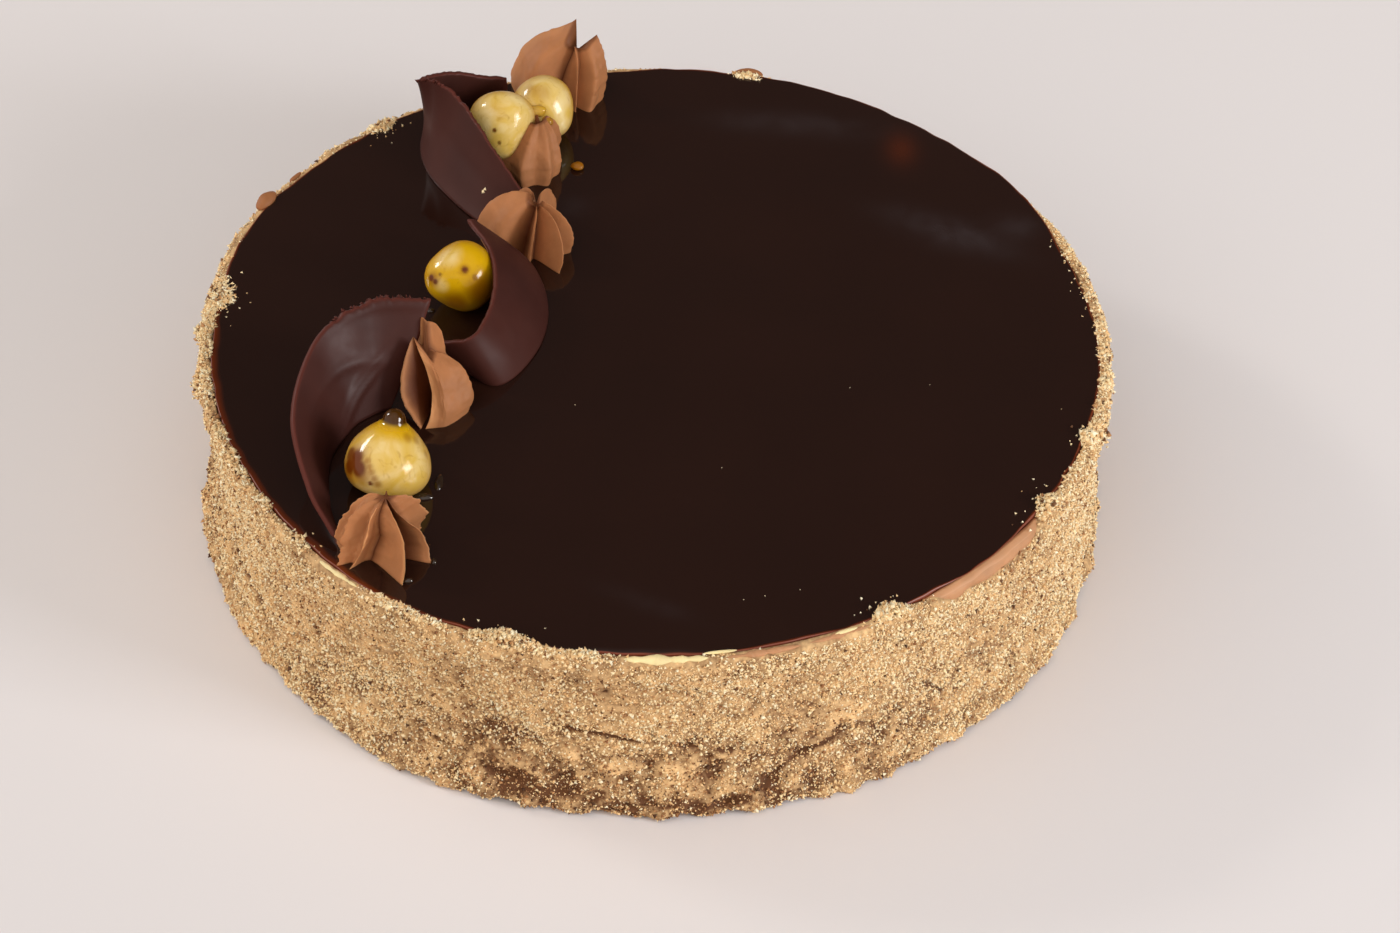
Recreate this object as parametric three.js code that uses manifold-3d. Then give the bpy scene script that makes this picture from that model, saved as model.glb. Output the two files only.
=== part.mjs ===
// Mocha cake: a round cake coated with crumbs, a cream layer and a dark glaze on top, and along the left
// of the top a row of piped cream stars, caramel-coated hazelnuts and bent chocolate curls.
// Millimetres, +Z up, origin at the middle of the underside. Angles are degrees from +X towards +Y.

import * as THREE from "three";
import { ParametricGeometry } from "three/addons/geometries/ParametricGeometry.js";
import { mergeVertices } from "three/addons/utils/BufferGeometryUtils.js";
import Module from "manifold-3d";

const wasm = await Module();
wasm.setup();

// Driving dimensions of the cake
const GLAZE_RADIUS = 100;
const GLAZE_TOP = 43.8;
const GLAZE_THICKNESS = 1.4;
const CREAM_THICKNESS = 3.6;
const CRUMB_COAT = 3.5;
const FOOT_SPREAD = 2.4;
const GAP = 0.3;

// Sizes worked out from them
const GLAZE_BOTTOM = GLAZE_TOP - GLAZE_THICKNESS;
const CREAM_TOP = GLAZE_BOTTOM - GAP;
const CREAM_BOTTOM = CREAM_TOP - CREAM_THICKNESS;
const RECESS_FLOOR = CREAM_BOTTOM - GAP;
const WALL_RADIUS = GLAZE_RADIUS + CRUMB_COAT;
const TOPPING_BASE = GLAZE_TOP + GAP;

// Crumb coat: the collar round the glaze, the stretch of rim that stays bare, and the clumps on the rim
const COLLAR_TOP = GLAZE_TOP;
const COLLAR_INSIDE = GLAZE_RADIUS + 2 * GAP;
const COLLAR_ROUNDING = 3;
const BARE_RIM = { from: 308, to: 325, softness: 4, top: RECESS_FLOOR + 2 };
const BUMP = 0.45;
const LOW_WAVE = 0.15;
const CLUMPS = [
  { angle: 78, spread: 3, reach: 0.5, lumps: 3 },
  { angle: 131, spread: 3, reach: 2, lumps: 4 },
  { angle: 153, spread: 2, reach: 1, lumps: 3 },
  { angle: 173, spread: 5, reach: 5, lumps: 8 },
  { angle: 232, spread: 6, reach: 0.5, lumps: 4 },
  { angle: 254, spread: 5, reach: 3, lumps: 8 },
  { angle: 275, spread: 6, reach: 0.5, lumps: 3 },
  { angle: 301, spread: 2.5, reach: 2, lumps: 5 },
  { angle: 329, spread: 2.5, reach: 2, lumps: 5 },
  { angle: 342, spread: 2, reach: 1.2, lumps: 3 },
];
const LUMP_SIZE = { smallest: 1, largest: 1.9 };
const FOOT_LUMPS = 22;

// Left side, where the cake is not quite round: it lies further in, least of all at the foot
const FLAT_SIDE = { from: 168, to: 224, softness: 16, inset: 2, lowest: 0, highest: 12 };

// Piped stars: place on the glaze, middle of the sunken crown, and for each fin its edge from foot to crown
// and how sharp it is, and for the groove before it how far out it lies, as a share of the way from the axis
// to the fins, and how much it keeps to the fin before
const GROOVE_SHARPNESS = 0.25;
const CREAM_STARS = [
  {
    at: [-25, 90], crown: [5, 2.6, 11.5],
    fins: [
      {
        groove: 0.4, pull: 0.5, sharp: 0.6,
        edge: [
          [-10.8, 4.6, 0], [-10.9, 3.8, 3], [-10.2, 3.6, 6], [-8.4, 4.4, 10], [-5.2, 5.4, 13],
          [-1.6, 5.4, 15], [2.4, 5.2, 16.8], [4.8, 5, 18.6],
        ],
      },
      {
        groove: 1.06, pull: 0.5, sharp: 0,
        edge: [[-6.5, -7.5, 0], [-6.3, -6.5, 4], [-4.8, -4.2, 9], [-1.8, -1.6, 12.5], [2.8, 1, 14.6]],
      },
      {
        groove: 0.4, pull: 0.4, sharp: 0.3,
        edge: [[5, -7.2, 0], [5.3, -5.8, 5], [5.4, -4.1, 8.5], [5.2, -2.1, 12], [4.5, 0.2, 14.2]],
      },
      {
        groove: 0.62, pull: 0.5, sharp: 0,
        edge: [[8.2, -7, 0], [9, -5.9, 4], [9.3, -4.5, 8], [8.7, -3, 11.5], [7.2, -0.6, 14.5]],
      },
      {
        groove: 1.02, pull: 0.5, sharp: 0.4,
        edge: [
          [11.2, -1, 0], [12, -0.2, 3], [12.2, 0.1, 6.5], [12, 0.3, 10], [11, 0.8, 14], [9.9, 1.4, 17],
        ],
      },
      {
        groove: 0.4, pull: 0.5, sharp: 0.5,
        edge: [[7.5, 8.5, 0], [7.9, 8, 3], [7.5, 6.6, 6], [6.8, 4.8, 9], [5.9, 3.4, 11]],
      },
      {
        groove: 0.4, pull: 0.5, sharp: 0.5,
        edge: [[-1, 9.5, 0], [-0.6, 9, 3], [0.8, 7.6, 6], [2.8, 5.4, 9], [4.5, 3.6, 11.2]],
      },
    ],
  },
  {
    at: [-30, 63], crown: [2.2, 0.8, 10.2],
    fins: [
      {
        groove: 0.45, pull: 0.5, sharp: 0.2,
        edge: [[-7.2, -3.6, 0], [-7.8, -3.4, 3.3], [-6.2, -2, 6.6], [-3.2, -0.4, 9.6], [0, 0.8, 11.6]],
      },
      {
        groove: 1.04, pull: 0.5, sharp: 0,
        edge: [
          [-1.4, -9.4, 0], [-1.8, -9.2, 3.6], [-1, -7.3, 7.2], [0.2, -4.6, 10.4], [1.4, -1.2, 12.4],
        ],
      },
      {
        groove: 1.08, pull: 0.5, sharp: 0,
        edge: [[4.6, -8.6, 0], [5.2, -8.3, 3], [4.9, -6.7, 6.6], [4.2, -4, 10.2], [3.1, -0.6, 12.8]],
      },
      {
        groove: 1.08, pull: 0.5, sharp: 0.1,
        edge: [[6.9, -3.4, 0], [7.6, -3.1, 3.8], [7.2, -2.4, 7.2], [5.9, -1.2, 10.6], [3.9, 0.4, 12.8]],
      },
      {
        groove: 0.5, pull: 0.5, sharp: 0.3,
        edge: [[5.8, 3.3, 0], [7.2, 3.9, 3.8], [6.8, 3.4, 7.5], [5.8, 2.8, 10.6], [3.9, 2.2, 12.5]],
      },
      {
        groove: 0.45, pull: 0.5, sharp: 0.3,
        edge: [[-3, 6, 0], [-2.6, 6.4, 3.6], [-1.2, 6, 7.2], [0.4, 5, 10.2], [1.8, 3, 12]],
      },
    ],
  },
  {
    at: [-28.8, 30.8], crown: [1.7, 2.3, 10.3],
    fins: [
      {
        groove: 0.4, pull: 0.5, sharp: 0.3,
        edge: [
          [-10.9, 4.3, 0], [-11.9, 3.6, 4], [-10.7, 3.4, 8], [-8.5, 3.6, 11], [-5, 4.6, 13],
          [-1.9, 4.7, 13.5], [0.5, 3.8, 13.2],
        ],
      },
      {
        groove: 1.06, pull: 0.5, sharp: 0,
        edge: [[-7.5, -4.8, 0], [-7.4, -4.2, 4], [-5.9, -2.8, 7.5], [-3.6, -0.9, 10.5], [0, 1.8, 12.8]],
      },
      {
        groove: 0.28, pull: 0.5, sharp: 0.9,
        edge: [
          [0.3, -8.6, 0], [0.6, -7.9, 3.5], [1.2, -6.1, 6.5], [1.7, -4.2, 9.5], [2.1, -2.3, 11.5],
          [2, 0.4, 12.8],
        ],
      },
      {
        groove: 0.3, pull: 0.6, sharp: 0.8,
        edge: [
          [8.2, -9.7, 0], [8.5, -7.7, 4], [7.9, -5.4, 7], [6.8, -2.9, 9.5], [5, -1, 11.5],
          [2.6, 0.8, 12.6],
        ],
      },
      {
        groove: 0.6, pull: 0.5, sharp: 0.3,
        edge: [
          [9.6, -0.6, 0], [10.4, -1.6, 4], [9.8, -0.9, 7.5], [8.1, -0.5, 10.5], [5.7, 0.3, 12.5],
          [3.2, 1.6, 13.2],
        ],
      },
      {
        groove: 0.4, pull: 0.5, sharp: 0.3,
        edge: [[5.4, 10.8, 0], [5.9, 11, 5], [4.9, 9.6, 10], [3.6, 6.7, 12.5], [2.5, 3.7, 13.4]],
      },
      {
        groove: 0.4, pull: 0.5, sharp: 0.3,
        edge: [[-3.6, 10.6, 0], [-3.6, 10.4, 5], [-2.6, 9, 10], [-0.6, 6.8, 12.8], [1, 4.2, 13.4]],
      },
    ],
  },
  {
    at: [-46.7, -23], crown: [-1.8, 2.6, 11],
    fins: [
      {
        groove: 0.45, pull: 0.5, sharp: 1,
        edge: [
          [-2.6, -8.9, 0], [-4.4, -8, 2.4], [-6.4, -6.4, 5], [-7.3, -3.6, 8.2], [-6.7, -0.4, 12.4],
          [-5.6, 2.2, 14.8], [-4.7, 3.4, 16.1],
        ],
      },
      {
        groove: 0.1, pull: 0.5, sharp: 1,
        edge: [
          [-1.8, -8.9, 0], [-0.7, -7.5, 2.6], [-0.4, -4.5, 6.1], [-1, -2.8, 8.6], [-2, -0.8, 11.1],
          [-3.6, 1.6, 14], [-4.6, 3.3, 16.1],
        ],
      },
      {
        groove: 1, pull: 0.4, sharp: 0,
        edge: [[2.8, -7.9, 0], [3, -7, 3.5], [2.5, -5, 7], [1.5, -2.9, 10], [-0.6, 0.4, 12]],
      },
      {
        groove: 1.08, pull: 0.5, sharp: 0,
        edge: [
          [7.2, -2.2, 0], [8.2, -0.9, 4], [7.3, 0.8, 7.5], [5, 1.8, 10.5], [1.9, 2.1, 12.4],
          [-0.4, 2.2, 12.7],
        ],
      },
      {
        groove: 0.5, pull: 0.5, sharp: 0.2,
        edge: [
          [2.2, 6.4, 0], [2.5, 6.4, 5], [2.5, 5.6, 9], [2.2, 4.4, 12.4], [1.8, 4.6, 14.6],
          [0.8, 5.7, 16.6], [-0.8, 6.4, 17.4], [-1.8, 5.6, 16.8],
        ],
      },
      {
        groove: 1.02, pull: 0.5, sharp: 0,
        edge: [
          [-4.5, 7, 0], [-4.7, 7.8, 5], [-4.6, 8.6, 10], [-4.2, 8.8, 14.5], [-3.4, 8.2, 17.2],
          [-2.4, 6.6, 17.4],
        ],
      },
    ],
  },
  {
    at: [-54.6, -69.8], crown: [0.6, 2.2, 12.9],
    fins: [
      {
        groove: 0.45, pull: 0.5, sharp: 0.5,
        edge: [
          [-9.8, 1.2, 0], [-10.7, 0.3, 4.5], [-8.6, 0.9, 8], [-6.6, 1.6, 10.5], [-4.3, 2.5, 12.5],
          [-2.4, 3, 13.5], [-0.6, 2.6, 13.2],
        ],
      },
      {
        groove: 0.84, pull: 0.45, sharp: 0.3,
        edge: [[-9.6, -5.4, 0], [-8.5, -3.7, 4], [-7.1, -2.1, 8], [-4.8, -0.6, 11.5], [-1.2, 1.6, 13]],
      },
      {
        groove: 0.7, pull: 0.6, sharp: 1,
        edge: [
          [-7, -6.6, 0], [-4.8, -5.3, 3], [-3.4, -4.7, 6], [-3.1, -3.8, 8.7], [-2.5, -2.7, 11],
          [-1.4, -1.2, 12.3], [0, 0.7, 12.9],
        ],
      },
      {
        groove: 0.42, pull: 0.85, sharp: 0.9,
        edge: [
          [4.5, -11, 0], [5, -9.6, 3], [5.2, -8.6, 6], [4.8, -6.8, 8.7], [3.6, -4.6, 11],
          [2.4, -2.7, 12.3], [1.1, 0.2, 12.7],
        ],
      },
      {
        groove: 0.38, pull: 0.85, sharp: 0.9,
        edge: [
          [10.7, -4.3, 0], [9.7, -2.4, 2], [8.9, -1.7, 4], [7.6, -1.3, 6.7], [5.5, -1.4, 9],
          [3.4, -1.3, 11.5], [1.7, 0.7, 12.4],
        ],
      },
      {
        groove: 0.45, pull: 0.5, sharp: 0.8,
        edge: [
          [6.8, 6.3, 0], [8.4, 6.3, 4], [8, 5.7, 6.5], [7.4, 5.1, 9.5], [5.2, 4.1, 12],
          [2.5, 2.8, 12.9],
        ],
      },
      {
        groove: 0.45, pull: 0.5, sharp: 0.5,
        edge: [[-1, 8, 0], [-0.6, 7.6, 4], [0, 6.8, 8], [0.4, 5.6, 11], [0.6, 4, 13]],
      },
    ],
  },
];

// Hazelnuts in set caramel: middle of the kernel, its height over the glaze, where the tip points, and
// the outline from tip to base as [way along the axis, radius]
const NUTS = [
  {
    at: [-36.6, 66.6], lift: 10, tilt: 118, heading: 274,
    line: [
      [10, 0], [9.7, 1.6], [8.7, 3.1], [6.8, 4.8], [4.4, 6.4], [1.9, 7.5], [-0.7, 7.8], [-3, 7],
      [-4.7, 5.3], [-5.6, 3], [-5.8, 0],
    ],
  },
  {
    at: [-27.6, 75.2], lift: 7.6, tilt: 112, heading: 312,
    line: [
      [8.6, 0], [8.4, 1.4], [7.4, 3.2], [5.4, 5.2], [2.7, 6.9], [-0.2, 7.5], [-3.2, 6.7], [-5.4, 4.8],
      [-6.5, 2.4], [-6.7, 0],
    ],
  },
  {
    at: [-42.6, 11.4], lift: 7.7, tilt: 82, heading: 200,
    line: [
      [8.7, 0], [8.4, 2], [7.3, 3.9], [5.2, 5.7], [2.6, 7.2], [-0.2, 7.9], [-3, 7.4], [-5.4, 5.6],
      [-6.6, 3], [-6.9, 0],
    ],
  },
  {
    at: [-55.2, -50.3], lift: 5.5, tilt: 22, heading: 67,
    line: [
      [13.4, 0], [13.1, 1.2], [12.3, 2], [11.2, 2.35], [10, 2.9], [9.2, 4.1], [8.2, 5.3], [6.9, 6.5],
      [5, 7.95], [3.1, 8.8], [0.3, 9.3], [-2, 8.9], [-3.8, 7.6], [-4.7, 5.5], [-5, 3], [-5.1, 0],
    ],
  },
];

// Chocolate curls: thin sheets between a foot edge and a crest edge, as [x, y, height over the glaze]
const CURL_THICKNESS = 1.2;
const CURL_BULGE = 1;
const CURLS = [
  {
    foot: [
      [-33, 37, 0], [-41, 41, 0], [-51, 54, 0], [-55, 64, 0],
      [-55, 73, 0], [-48.5, 81, 0], [-37, 86, 0],
    ],
    crest: [
      [-29, 39, 7], [-38.5, 51, 15], [-46, 62, 19], [-52, 66, 21],
      [-56, 69, 19], [-49.5, 77.5, 15], [-36.5, 85, 8],
    ],
  },
  {
    foot: [
      [-42, -10.5, 0], [-33, -16.5, 0], [-25.5, -4.5, 0],
      [-24, 11, 0], [-29, 23, 3], [-42, 28, 9],
    ],
    crest: [
      [-47, -12, 8], [-39.5, -13.5, 11], [-36, -6, 12],
      [-35, 4, 13], [-37, 15, 13], [-42.5, 28, 10.5],
    ],
  },
  {
    foot: [
      [-64.5, -69, 0], [-67.5, -57, 0], [-68.5, -43, 0],
      [-65, -32.5, 0], [-60.5, -27.5, 0], [-56.5, -25, 0],
    ],
    crest: [
      [-65, -69, 2], [-71.5, -59, 8], [-75.5, -44, 15],
      [-71.5, -25, 20], [-61, -15, 22], [-48, -11.5, 20],
    ],
  },
];

// Materials
const CRUMB = { color: 0xcda573, roughness: 0.95, metalness: 0 };
const MOCHA_CREAM = { color: 0xa96f4a, roughness: 0.6, metalness: 0 };
const DARK_GLAZE = { color: 0x231714, roughness: 0.12, metalness: 0 };
const CARAMEL_NUT = { color: 0xd9b34a, roughness: 0.15, metalness: 0 };
const CHOCOLATE = { color: 0x452a27, roughness: 0.4, metalness: 0 };

const rad = THREE.MathUtils.degToRad;
const { clamp, lerp, smoothstep } = THREE.MathUtils;

// A random draw that gives the same row of numbers each run
function seededDraw(seed) {
  let state = seed;
  return () => {
    state = (Math.imul(state, 1664525) + 1013904223) >>> 0;
    return state / 4294967296;
  };
}

// Closed geometry to solid: shared vertices are merged, triangles that shrink to a line at a pole dropped
function toSolid(geometry) {
  geometry.deleteAttribute("normal");
  geometry.deleteAttribute("uv");
  const merged = mergeVertices(geometry, 1e-3);
  const corners = merged.index.array;
  const triVerts = [];
  for (let i = 0; i < corners.length; i += 3) {
    const [a, b, c] = corners.slice(i, i + 3);
    if (a !== b && b !== c && c !== a) {
      triVerts.push(a, b, c);
    }
  }
  const mesh = new wasm.Mesh({
    numProp: 3,
    vertProperties: new Float32Array(merged.attributes.position.array),
    triVerts: new Uint32Array(triVerts),
  });
  return new wasm.Manifold(mesh);
}

// Solid with the surface pointAt(u, v): u closes on itself, v runs from one pole to the other
function closedSurface(pointAt, around, along) {
  return toSolid(new ParametricGeometry((u, v, target) => pointAt(u % 1, v, target), around, along));
}

// Largest piece of a cut solid, so that no loose scrap of the cut is left beside it
function largestPiece(solid) {
  const pieces = solid.decompose();
  return pieces.reduce((best, piece) => (piece.volume() > best.volume() ? piece : best));
}

function toMesh(name, solid, finish) {
  const { vertProperties, triVerts } = solid.getMesh();
  const geometry = new THREE.BufferGeometry();
  geometry.setAttribute("position", new THREE.BufferAttribute(vertProperties, 3));
  geometry.setIndex(new THREE.BufferAttribute(triVerts, 1));
  geometry.computeVertexNormals();
  const mesh = new THREE.Mesh(geometry, new THREE.MeshStandardMaterial(finish));
  mesh.name = name;
  return mesh;
}

// 1 on the arc from one angle to the other, 0 off it, soft at both ends
function onArc(degrees, { from, to, softness }) {
  const begun = smoothstep(degrees, from - softness, from + softness);
  const ended = smoothstep(degrees, to - softness, to + softness);
  return begun * (1 - ended);
}

// How far the left side lies inside the full round at an angle and a height
function flatSide(degrees, height) {
  const { inset, lowest, highest } = FLAT_SIDE;
  return inset * onArc(degrees, FLAT_SIDE) * smoothstep(height, lowest, highest);
}

// Solid of revolution from the middle of its underside to the middle of its top, radius uneven by angle
function disc(profile, columns, unevenness) {
  return closedSurface(
    (u, v, target) => {
      const [radius, height] = profile[Math.round(v * (profile.length - 1))];
      const angle = u * 2 * Math.PI;
      const wave = radius * unevenness * Math.sin(5 * angle) * Math.sin(3 * angle + 1);
      const r = radius === 0 ? 0 : radius + wave - flatSide(u * 360, height);
      target.set(r * Math.cos(angle), r * Math.sin(angle), height);
    },
    columns,
    profile.length - 1,
  );
}

// Bumps of the crumb coat: seeded draws on a grid of rows and columns, over a few low waves round the wall
function crumbRelief(rows, columns) {
  const draw = seededDraw(7);
  const bumps = Array.from({ length: rows * columns }, () => BUMP * (2 * draw() - 1));
  return (row, column) => {
    const angle = (2 * Math.PI * column) / columns;
    const broad = Math.sin(3 * angle + 1) + Math.sin(7 * angle + 0.6 * row);
    const narrow = Math.sin(13 * angle - 0.8 * row);
    return bumps[row * columns + column] + LOW_WAVE * (broad + narrow);
  };
}

// Crumb-coated cake: flat underside, foot where crumbs gather, wall with low relief, rounded collar, recess
function cakeCore() {
  const columns = 96;
  const wallRows = 6;
  const rows = [
    { r: 0, z: 0 },
    { r: WALL_RADIUS, z: 0 },
    { r: WALL_RADIUS + FOOT_SPREAD, z: 1.2, rough: 1 },
    { r: WALL_RADIUS + 0.6 * FOOT_SPREAD, z: 3.6, rough: 1 },
  ];
  for (let i = 0; i < wallRows; i++) {
    const z = lerp(7, COLLAR_TOP - COLLAR_ROUNDING, i / (wallRows - 1));
    rows.push({ r: WALL_RADIUS, z, rough: 1 });
  }
  rows.push(
    { r: WALL_RADIUS - 0.3 * COLLAR_ROUNDING, z: COLLAR_TOP - 0.3 * COLLAR_ROUNDING, rough: 0.6 },
    { r: lerp(WALL_RADIUS, COLLAR_INSIDE, 0.65), z: COLLAR_TOP, rough: 0.3 },
    { r: COLLAR_INSIDE, z: COLLAR_TOP - 0.2 },
    { r: COLLAR_INSIDE, z: RECESS_FLOOR },
    { r: 0, z: RECESS_FLOOR },
  );
  const relief = crumbRelief(rows.length, columns);
  return closedSurface(
    (u, v, target) => {
      const level = Math.round(v * (rows.length - 1));
      const row = rows[level];
      const angle = u * 2 * Math.PI;
      const limit = lerp(COLLAR_TOP, BARE_RIM.top, onArc(u * 360, BARE_RIM));
      const scale = (limit - RECESS_FLOOR) / (COLLAR_TOP - RECESS_FLOOR);
      const z = row.z > RECESS_FLOOR ? lerp(RECESS_FLOOR, row.z, scale) : row.z;
      const rough = (row.rough ?? 0) * relief(level, Math.round(u * columns));
      const r = row.r === 0 ? 0 : row.r + rough - flatSide(u * 360, z);
      target.set(r * Math.cos(angle), r * Math.sin(angle), z);
    },
    columns,
    rows.length - 1,
  );
}

// One crumb lump: a squashed twenty-sided ball, turned at random
function crumbLump(draw, radius, position) {
  const geometry = new THREE.IcosahedronGeometry(radius, 0);
  geometry.scale(1, lerp(0.7, 1, draw()), lerp(0.7, 1, draw()));
  geometry.rotateX(6.3 * draw());
  geometry.rotateZ(6.3 * draw());
  geometry.translate(position.x, position.y, position.z);
  return toSolid(geometry);
}

// Cake with its clumps: lumps fused on the rim, where they lap over the glaze, and round the foot
function cakeBody() {
  const draw = seededDraw(29);
  const polar = (r, degrees, z) => {
    return new THREE.Vector3(r * Math.cos(rad(degrees)), r * Math.sin(rad(degrees)), z);
  };
  const size = () => lerp(LUMP_SIZE.smallest, LUMP_SIZE.largest, draw() ** 2);
  const lumpSolids = [];
  for (const { angle, spread, reach, lumps } of CLUMPS) {
    for (let i = 0; i < lumps; i++) {
      const degrees = angle + spread * (2 * draw() - 1);
      const inward = reach * draw() * (1 - Math.abs(degrees - angle) / spread);
      const radius = size();
      const height = GLAZE_TOP + 0.2 * radius;
      const place = polar(GLAZE_RADIUS + 1.5 - inward - flatSide(degrees, GLAZE_TOP), degrees, height);
      lumpSolids.push(crumbLump(draw, radius, place));
    }
  }
  for (let i = 0; i < FOOT_LUMPS; i++) {
    const radius = size();
    const degrees = (360 * (i + draw())) / FOOT_LUMPS;
    const height = radius + 1.5 + 2 * draw();
    lumpSolids.push(crumbLump(draw, radius, polar(WALL_RADIUS + 0.7 * FOOT_SPREAD, degrees, height)));
  }
  const clearance = [
    [0, RECESS_FLOOR],
    [COLLAR_INSIDE + GAP, RECESS_FLOOR],
    [COLLAR_INSIDE + GAP, TOPPING_BASE],
    [0, TOPPING_BASE],
  ];
  const lumps = wasm.Manifold.union(lumpSolids).subtract(disc(clearance, 96, 0));
  return largestPiece(cakeCore().add(lumps));
}

// Disc of cream and the glaze poured over it, whose edge is rounded and slightly uneven
function creamLayer() {
  const profile = [
    [0, CREAM_BOTTOM],
    [GLAZE_RADIUS, CREAM_BOTTOM],
    [GLAZE_RADIUS, CREAM_TOP],
    [0, CREAM_TOP],
  ];
  return disc(profile, 96, 0.001);
}

function glazeLayer() {
  const profile = [
    [0, GLAZE_BOTTOM],
    [GLAZE_RADIUS - 0.1, GLAZE_BOTTOM],
    [GLAZE_RADIUS, lerp(GLAZE_BOTTOM, GLAZE_TOP, 0.5)],
    [GLAZE_RADIUS - 0.9, GLAZE_TOP],
    [0, GLAZE_TOP],
  ];
  return disc(profile, 96, 0.002);
}

// Piped star: guide lines alternate between groove and edge round the star, each from the foot to the crown;
// cubic arcs join them, running on smoothly over round edges and meeting at sharp ones
function creamStar({ at, crown, fins }) {
  const count = fins.length;
  const rows = 7;
  const perGuide = 3;
  const axisEnd = new THREE.Vector3(...crown);
  const edges = fins.map(({ edge }) => {
    const places = edge.map((place) => new THREE.Vector3(...place));
    return new THREE.CatmullRomCurve3(places, false, "catmullrom", 0.5);
  });
  const guide = (k, t) => {
    const fin = Math.floor(k / 2) % count;
    const edge = edges[fin].getPointAt(t);
    if (k % 2 === 1) {
      return edge;
    }
    const { groove, pull } = fins[fin];
    const shallow = 0.35 * clamp(1 - groove, 0, 1) * clamp(1 - t / 0.3, 0, 1) ** 2;
    const between = edge.lerp(edges[(fin + count - 1) % count].getPointAt(t), pull);
    return axisEnd.clone().multiplyScalar(t).lerp(between, groove + shallow);
  };
  const sharpness = (k) => (k % 2 === 1 ? fins[Math.floor(k / 2) % count].sharp : GROOVE_SHARPNESS);
  return closedSurface(
    (u, v, target) => {
      const step = Math.round(v * (rows + 2));
      const t = clamp((step - 1) / rows, 0, 1);
      if (step === 0 || step === rows + 2) {
        target.copy(axisEnd).multiplyScalar(t);
      } else {
        const k = Math.floor(u * 2 * count + 1e-6);
        const s = u * 2 * count - k;
        const [before, start, end, after] = [-1, 0, 1, 2].map((n) => guide(2 * count + k + n, t));
        const straight = end.clone().sub(start);
        const leave = end.clone().sub(before).multiplyScalar(0.5).lerp(straight, sharpness(k));
        const arrive = after.clone().sub(start).multiplyScalar(0.5).lerp(straight, sharpness(k + 1));
        target.copy(start).addScaledVector(straight, s * s * (3 - 2 * s));
        target.addScaledVector(leave, s * (1 - s) ** 2).addScaledVector(arrive, -s * s * (1 - s));
      }
      target.add(new THREE.Vector3(at[0], at[1], TOPPING_BASE));
      target.z = Math.max(target.z, TOPPING_BASE);
    },
    2 * count * perGuide,
    rows + 2,
  );
}

// Coated hazelnut: the outline turned round its axis and leaned over, flat where it stands on the glaze;
// grow adds clearance across the outline
function nut({ at, lift, tilt, heading, line }, grow = 0) {
  const outline = new THREE.SplineCurve(line.map(([way, radius]) => new THREE.Vector2(radius, way)));
  const upright = new THREE.Vector3(0, 0, 1);
  const sideways = Math.sin(rad(tilt));
  const axis = new THREE.Vector3(
    sideways * Math.cos(rad(heading)),
    sideways * Math.sin(rad(heading)),
    Math.cos(rad(tilt)),
  );
  const leaned = new THREE.Quaternion().setFromUnitVectors(upright, axis);
  return closedSurface(
    (u, v, target) => {
      const place = outline.getPointAt(1 - v);
      const slope = outline.getTangentAt(1 - v);
      const pole = v === 0 || v === 1;
      const r = pole ? 0 : place.x - grow * slope.y;
      const way = place.y + (pole ? (2 * v - 1) * grow : grow * slope.x);
      const angle = u * 2 * Math.PI;
      target.set(r * Math.cos(angle), r * Math.sin(angle), way).applyQuaternion(leaned);
      target.add(new THREE.Vector3(at[0], at[1], GLAZE_TOP + lift));
      target.z = Math.max(target.z, TOPPING_BASE - grow);
    },
    18,
    13,
  );
}

// Bent chocolate sheet: straight lines from the foot edge to the crest edge, bowed a little, with a
// thickness; grow adds clearance on both faces and past every edge
function curl({ foot, crest }, grow = 0) {
  const edge = (points) => {
    const places = points.map(([x, y, height]) => new THREE.Vector3(x, y, TOPPING_BASE + height));
    return new THREE.CatmullRomCurve3(places, false, "catmullrom", 0.5);
  };
  const footEdge = edge(foot);
  const crestEdge = edge(crest);
  const steps = 26;
  const acrossSteps = 4;
  const sheetPoint = (t, w, side) => {
    const low = footEdge.getPoint(t);
    const high = crestEdge.getPoint(t);
    const along = footEdge.getTangent(t);
    const face = along.clone().cross(high.clone().sub(low)).normalize();
    const across = w + ((2 * w - 1) * grow) / low.distanceTo(high);
    const bow = CURL_BULGE * 4 * w * (1 - w);
    const past = (t === 0 ? -grow : 0) + (t === 1 ? grow : 0);
    const lift = bow + side * (CURL_THICKNESS / 2 + grow);
    return low.lerp(high, across).addScaledVector(face, lift).addScaledVector(along, past);
  };
  return closedSurface(
    (u, v, target) => {
      const step = Math.round(v * (steps + 2));
      const t = clamp((step - 1) / steps, 0, 1);
      if (step === 0 || step === steps + 2) {
        target.copy(sheetPoint(t, 0.5, 0));
        return;
      }
      const place = Math.round(u * 2 * (acrossSteps + 1));
      const rising = place <= acrossSteps;
      const w = rising ? place / acrossSteps : (2 * acrossSteps + 1 - place) / acrossSteps;
      target.copy(sheetPoint(t, w, rising ? -1 : 1));
      target.z = Math.max(target.z, TOPPING_BASE - grow);
    },
    2 * (acrossSteps + 1),
    steps + 2,
  );
}

// The cake put together; cream stars give way to the nuts and curls pressed into them, and a nut to the
// curls and to the nut it has stuck to
const cake = new THREE.Group();
cake.name = "mocha_cake";
cake.add(toMesh("cake_body", cakeBody(), CRUMB));
cake.add(toMesh("cream_layer", creamLayer(), MOCHA_CREAM));
cake.add(toMesh("glaze", glazeLayer(), DARK_GLAZE));

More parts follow.
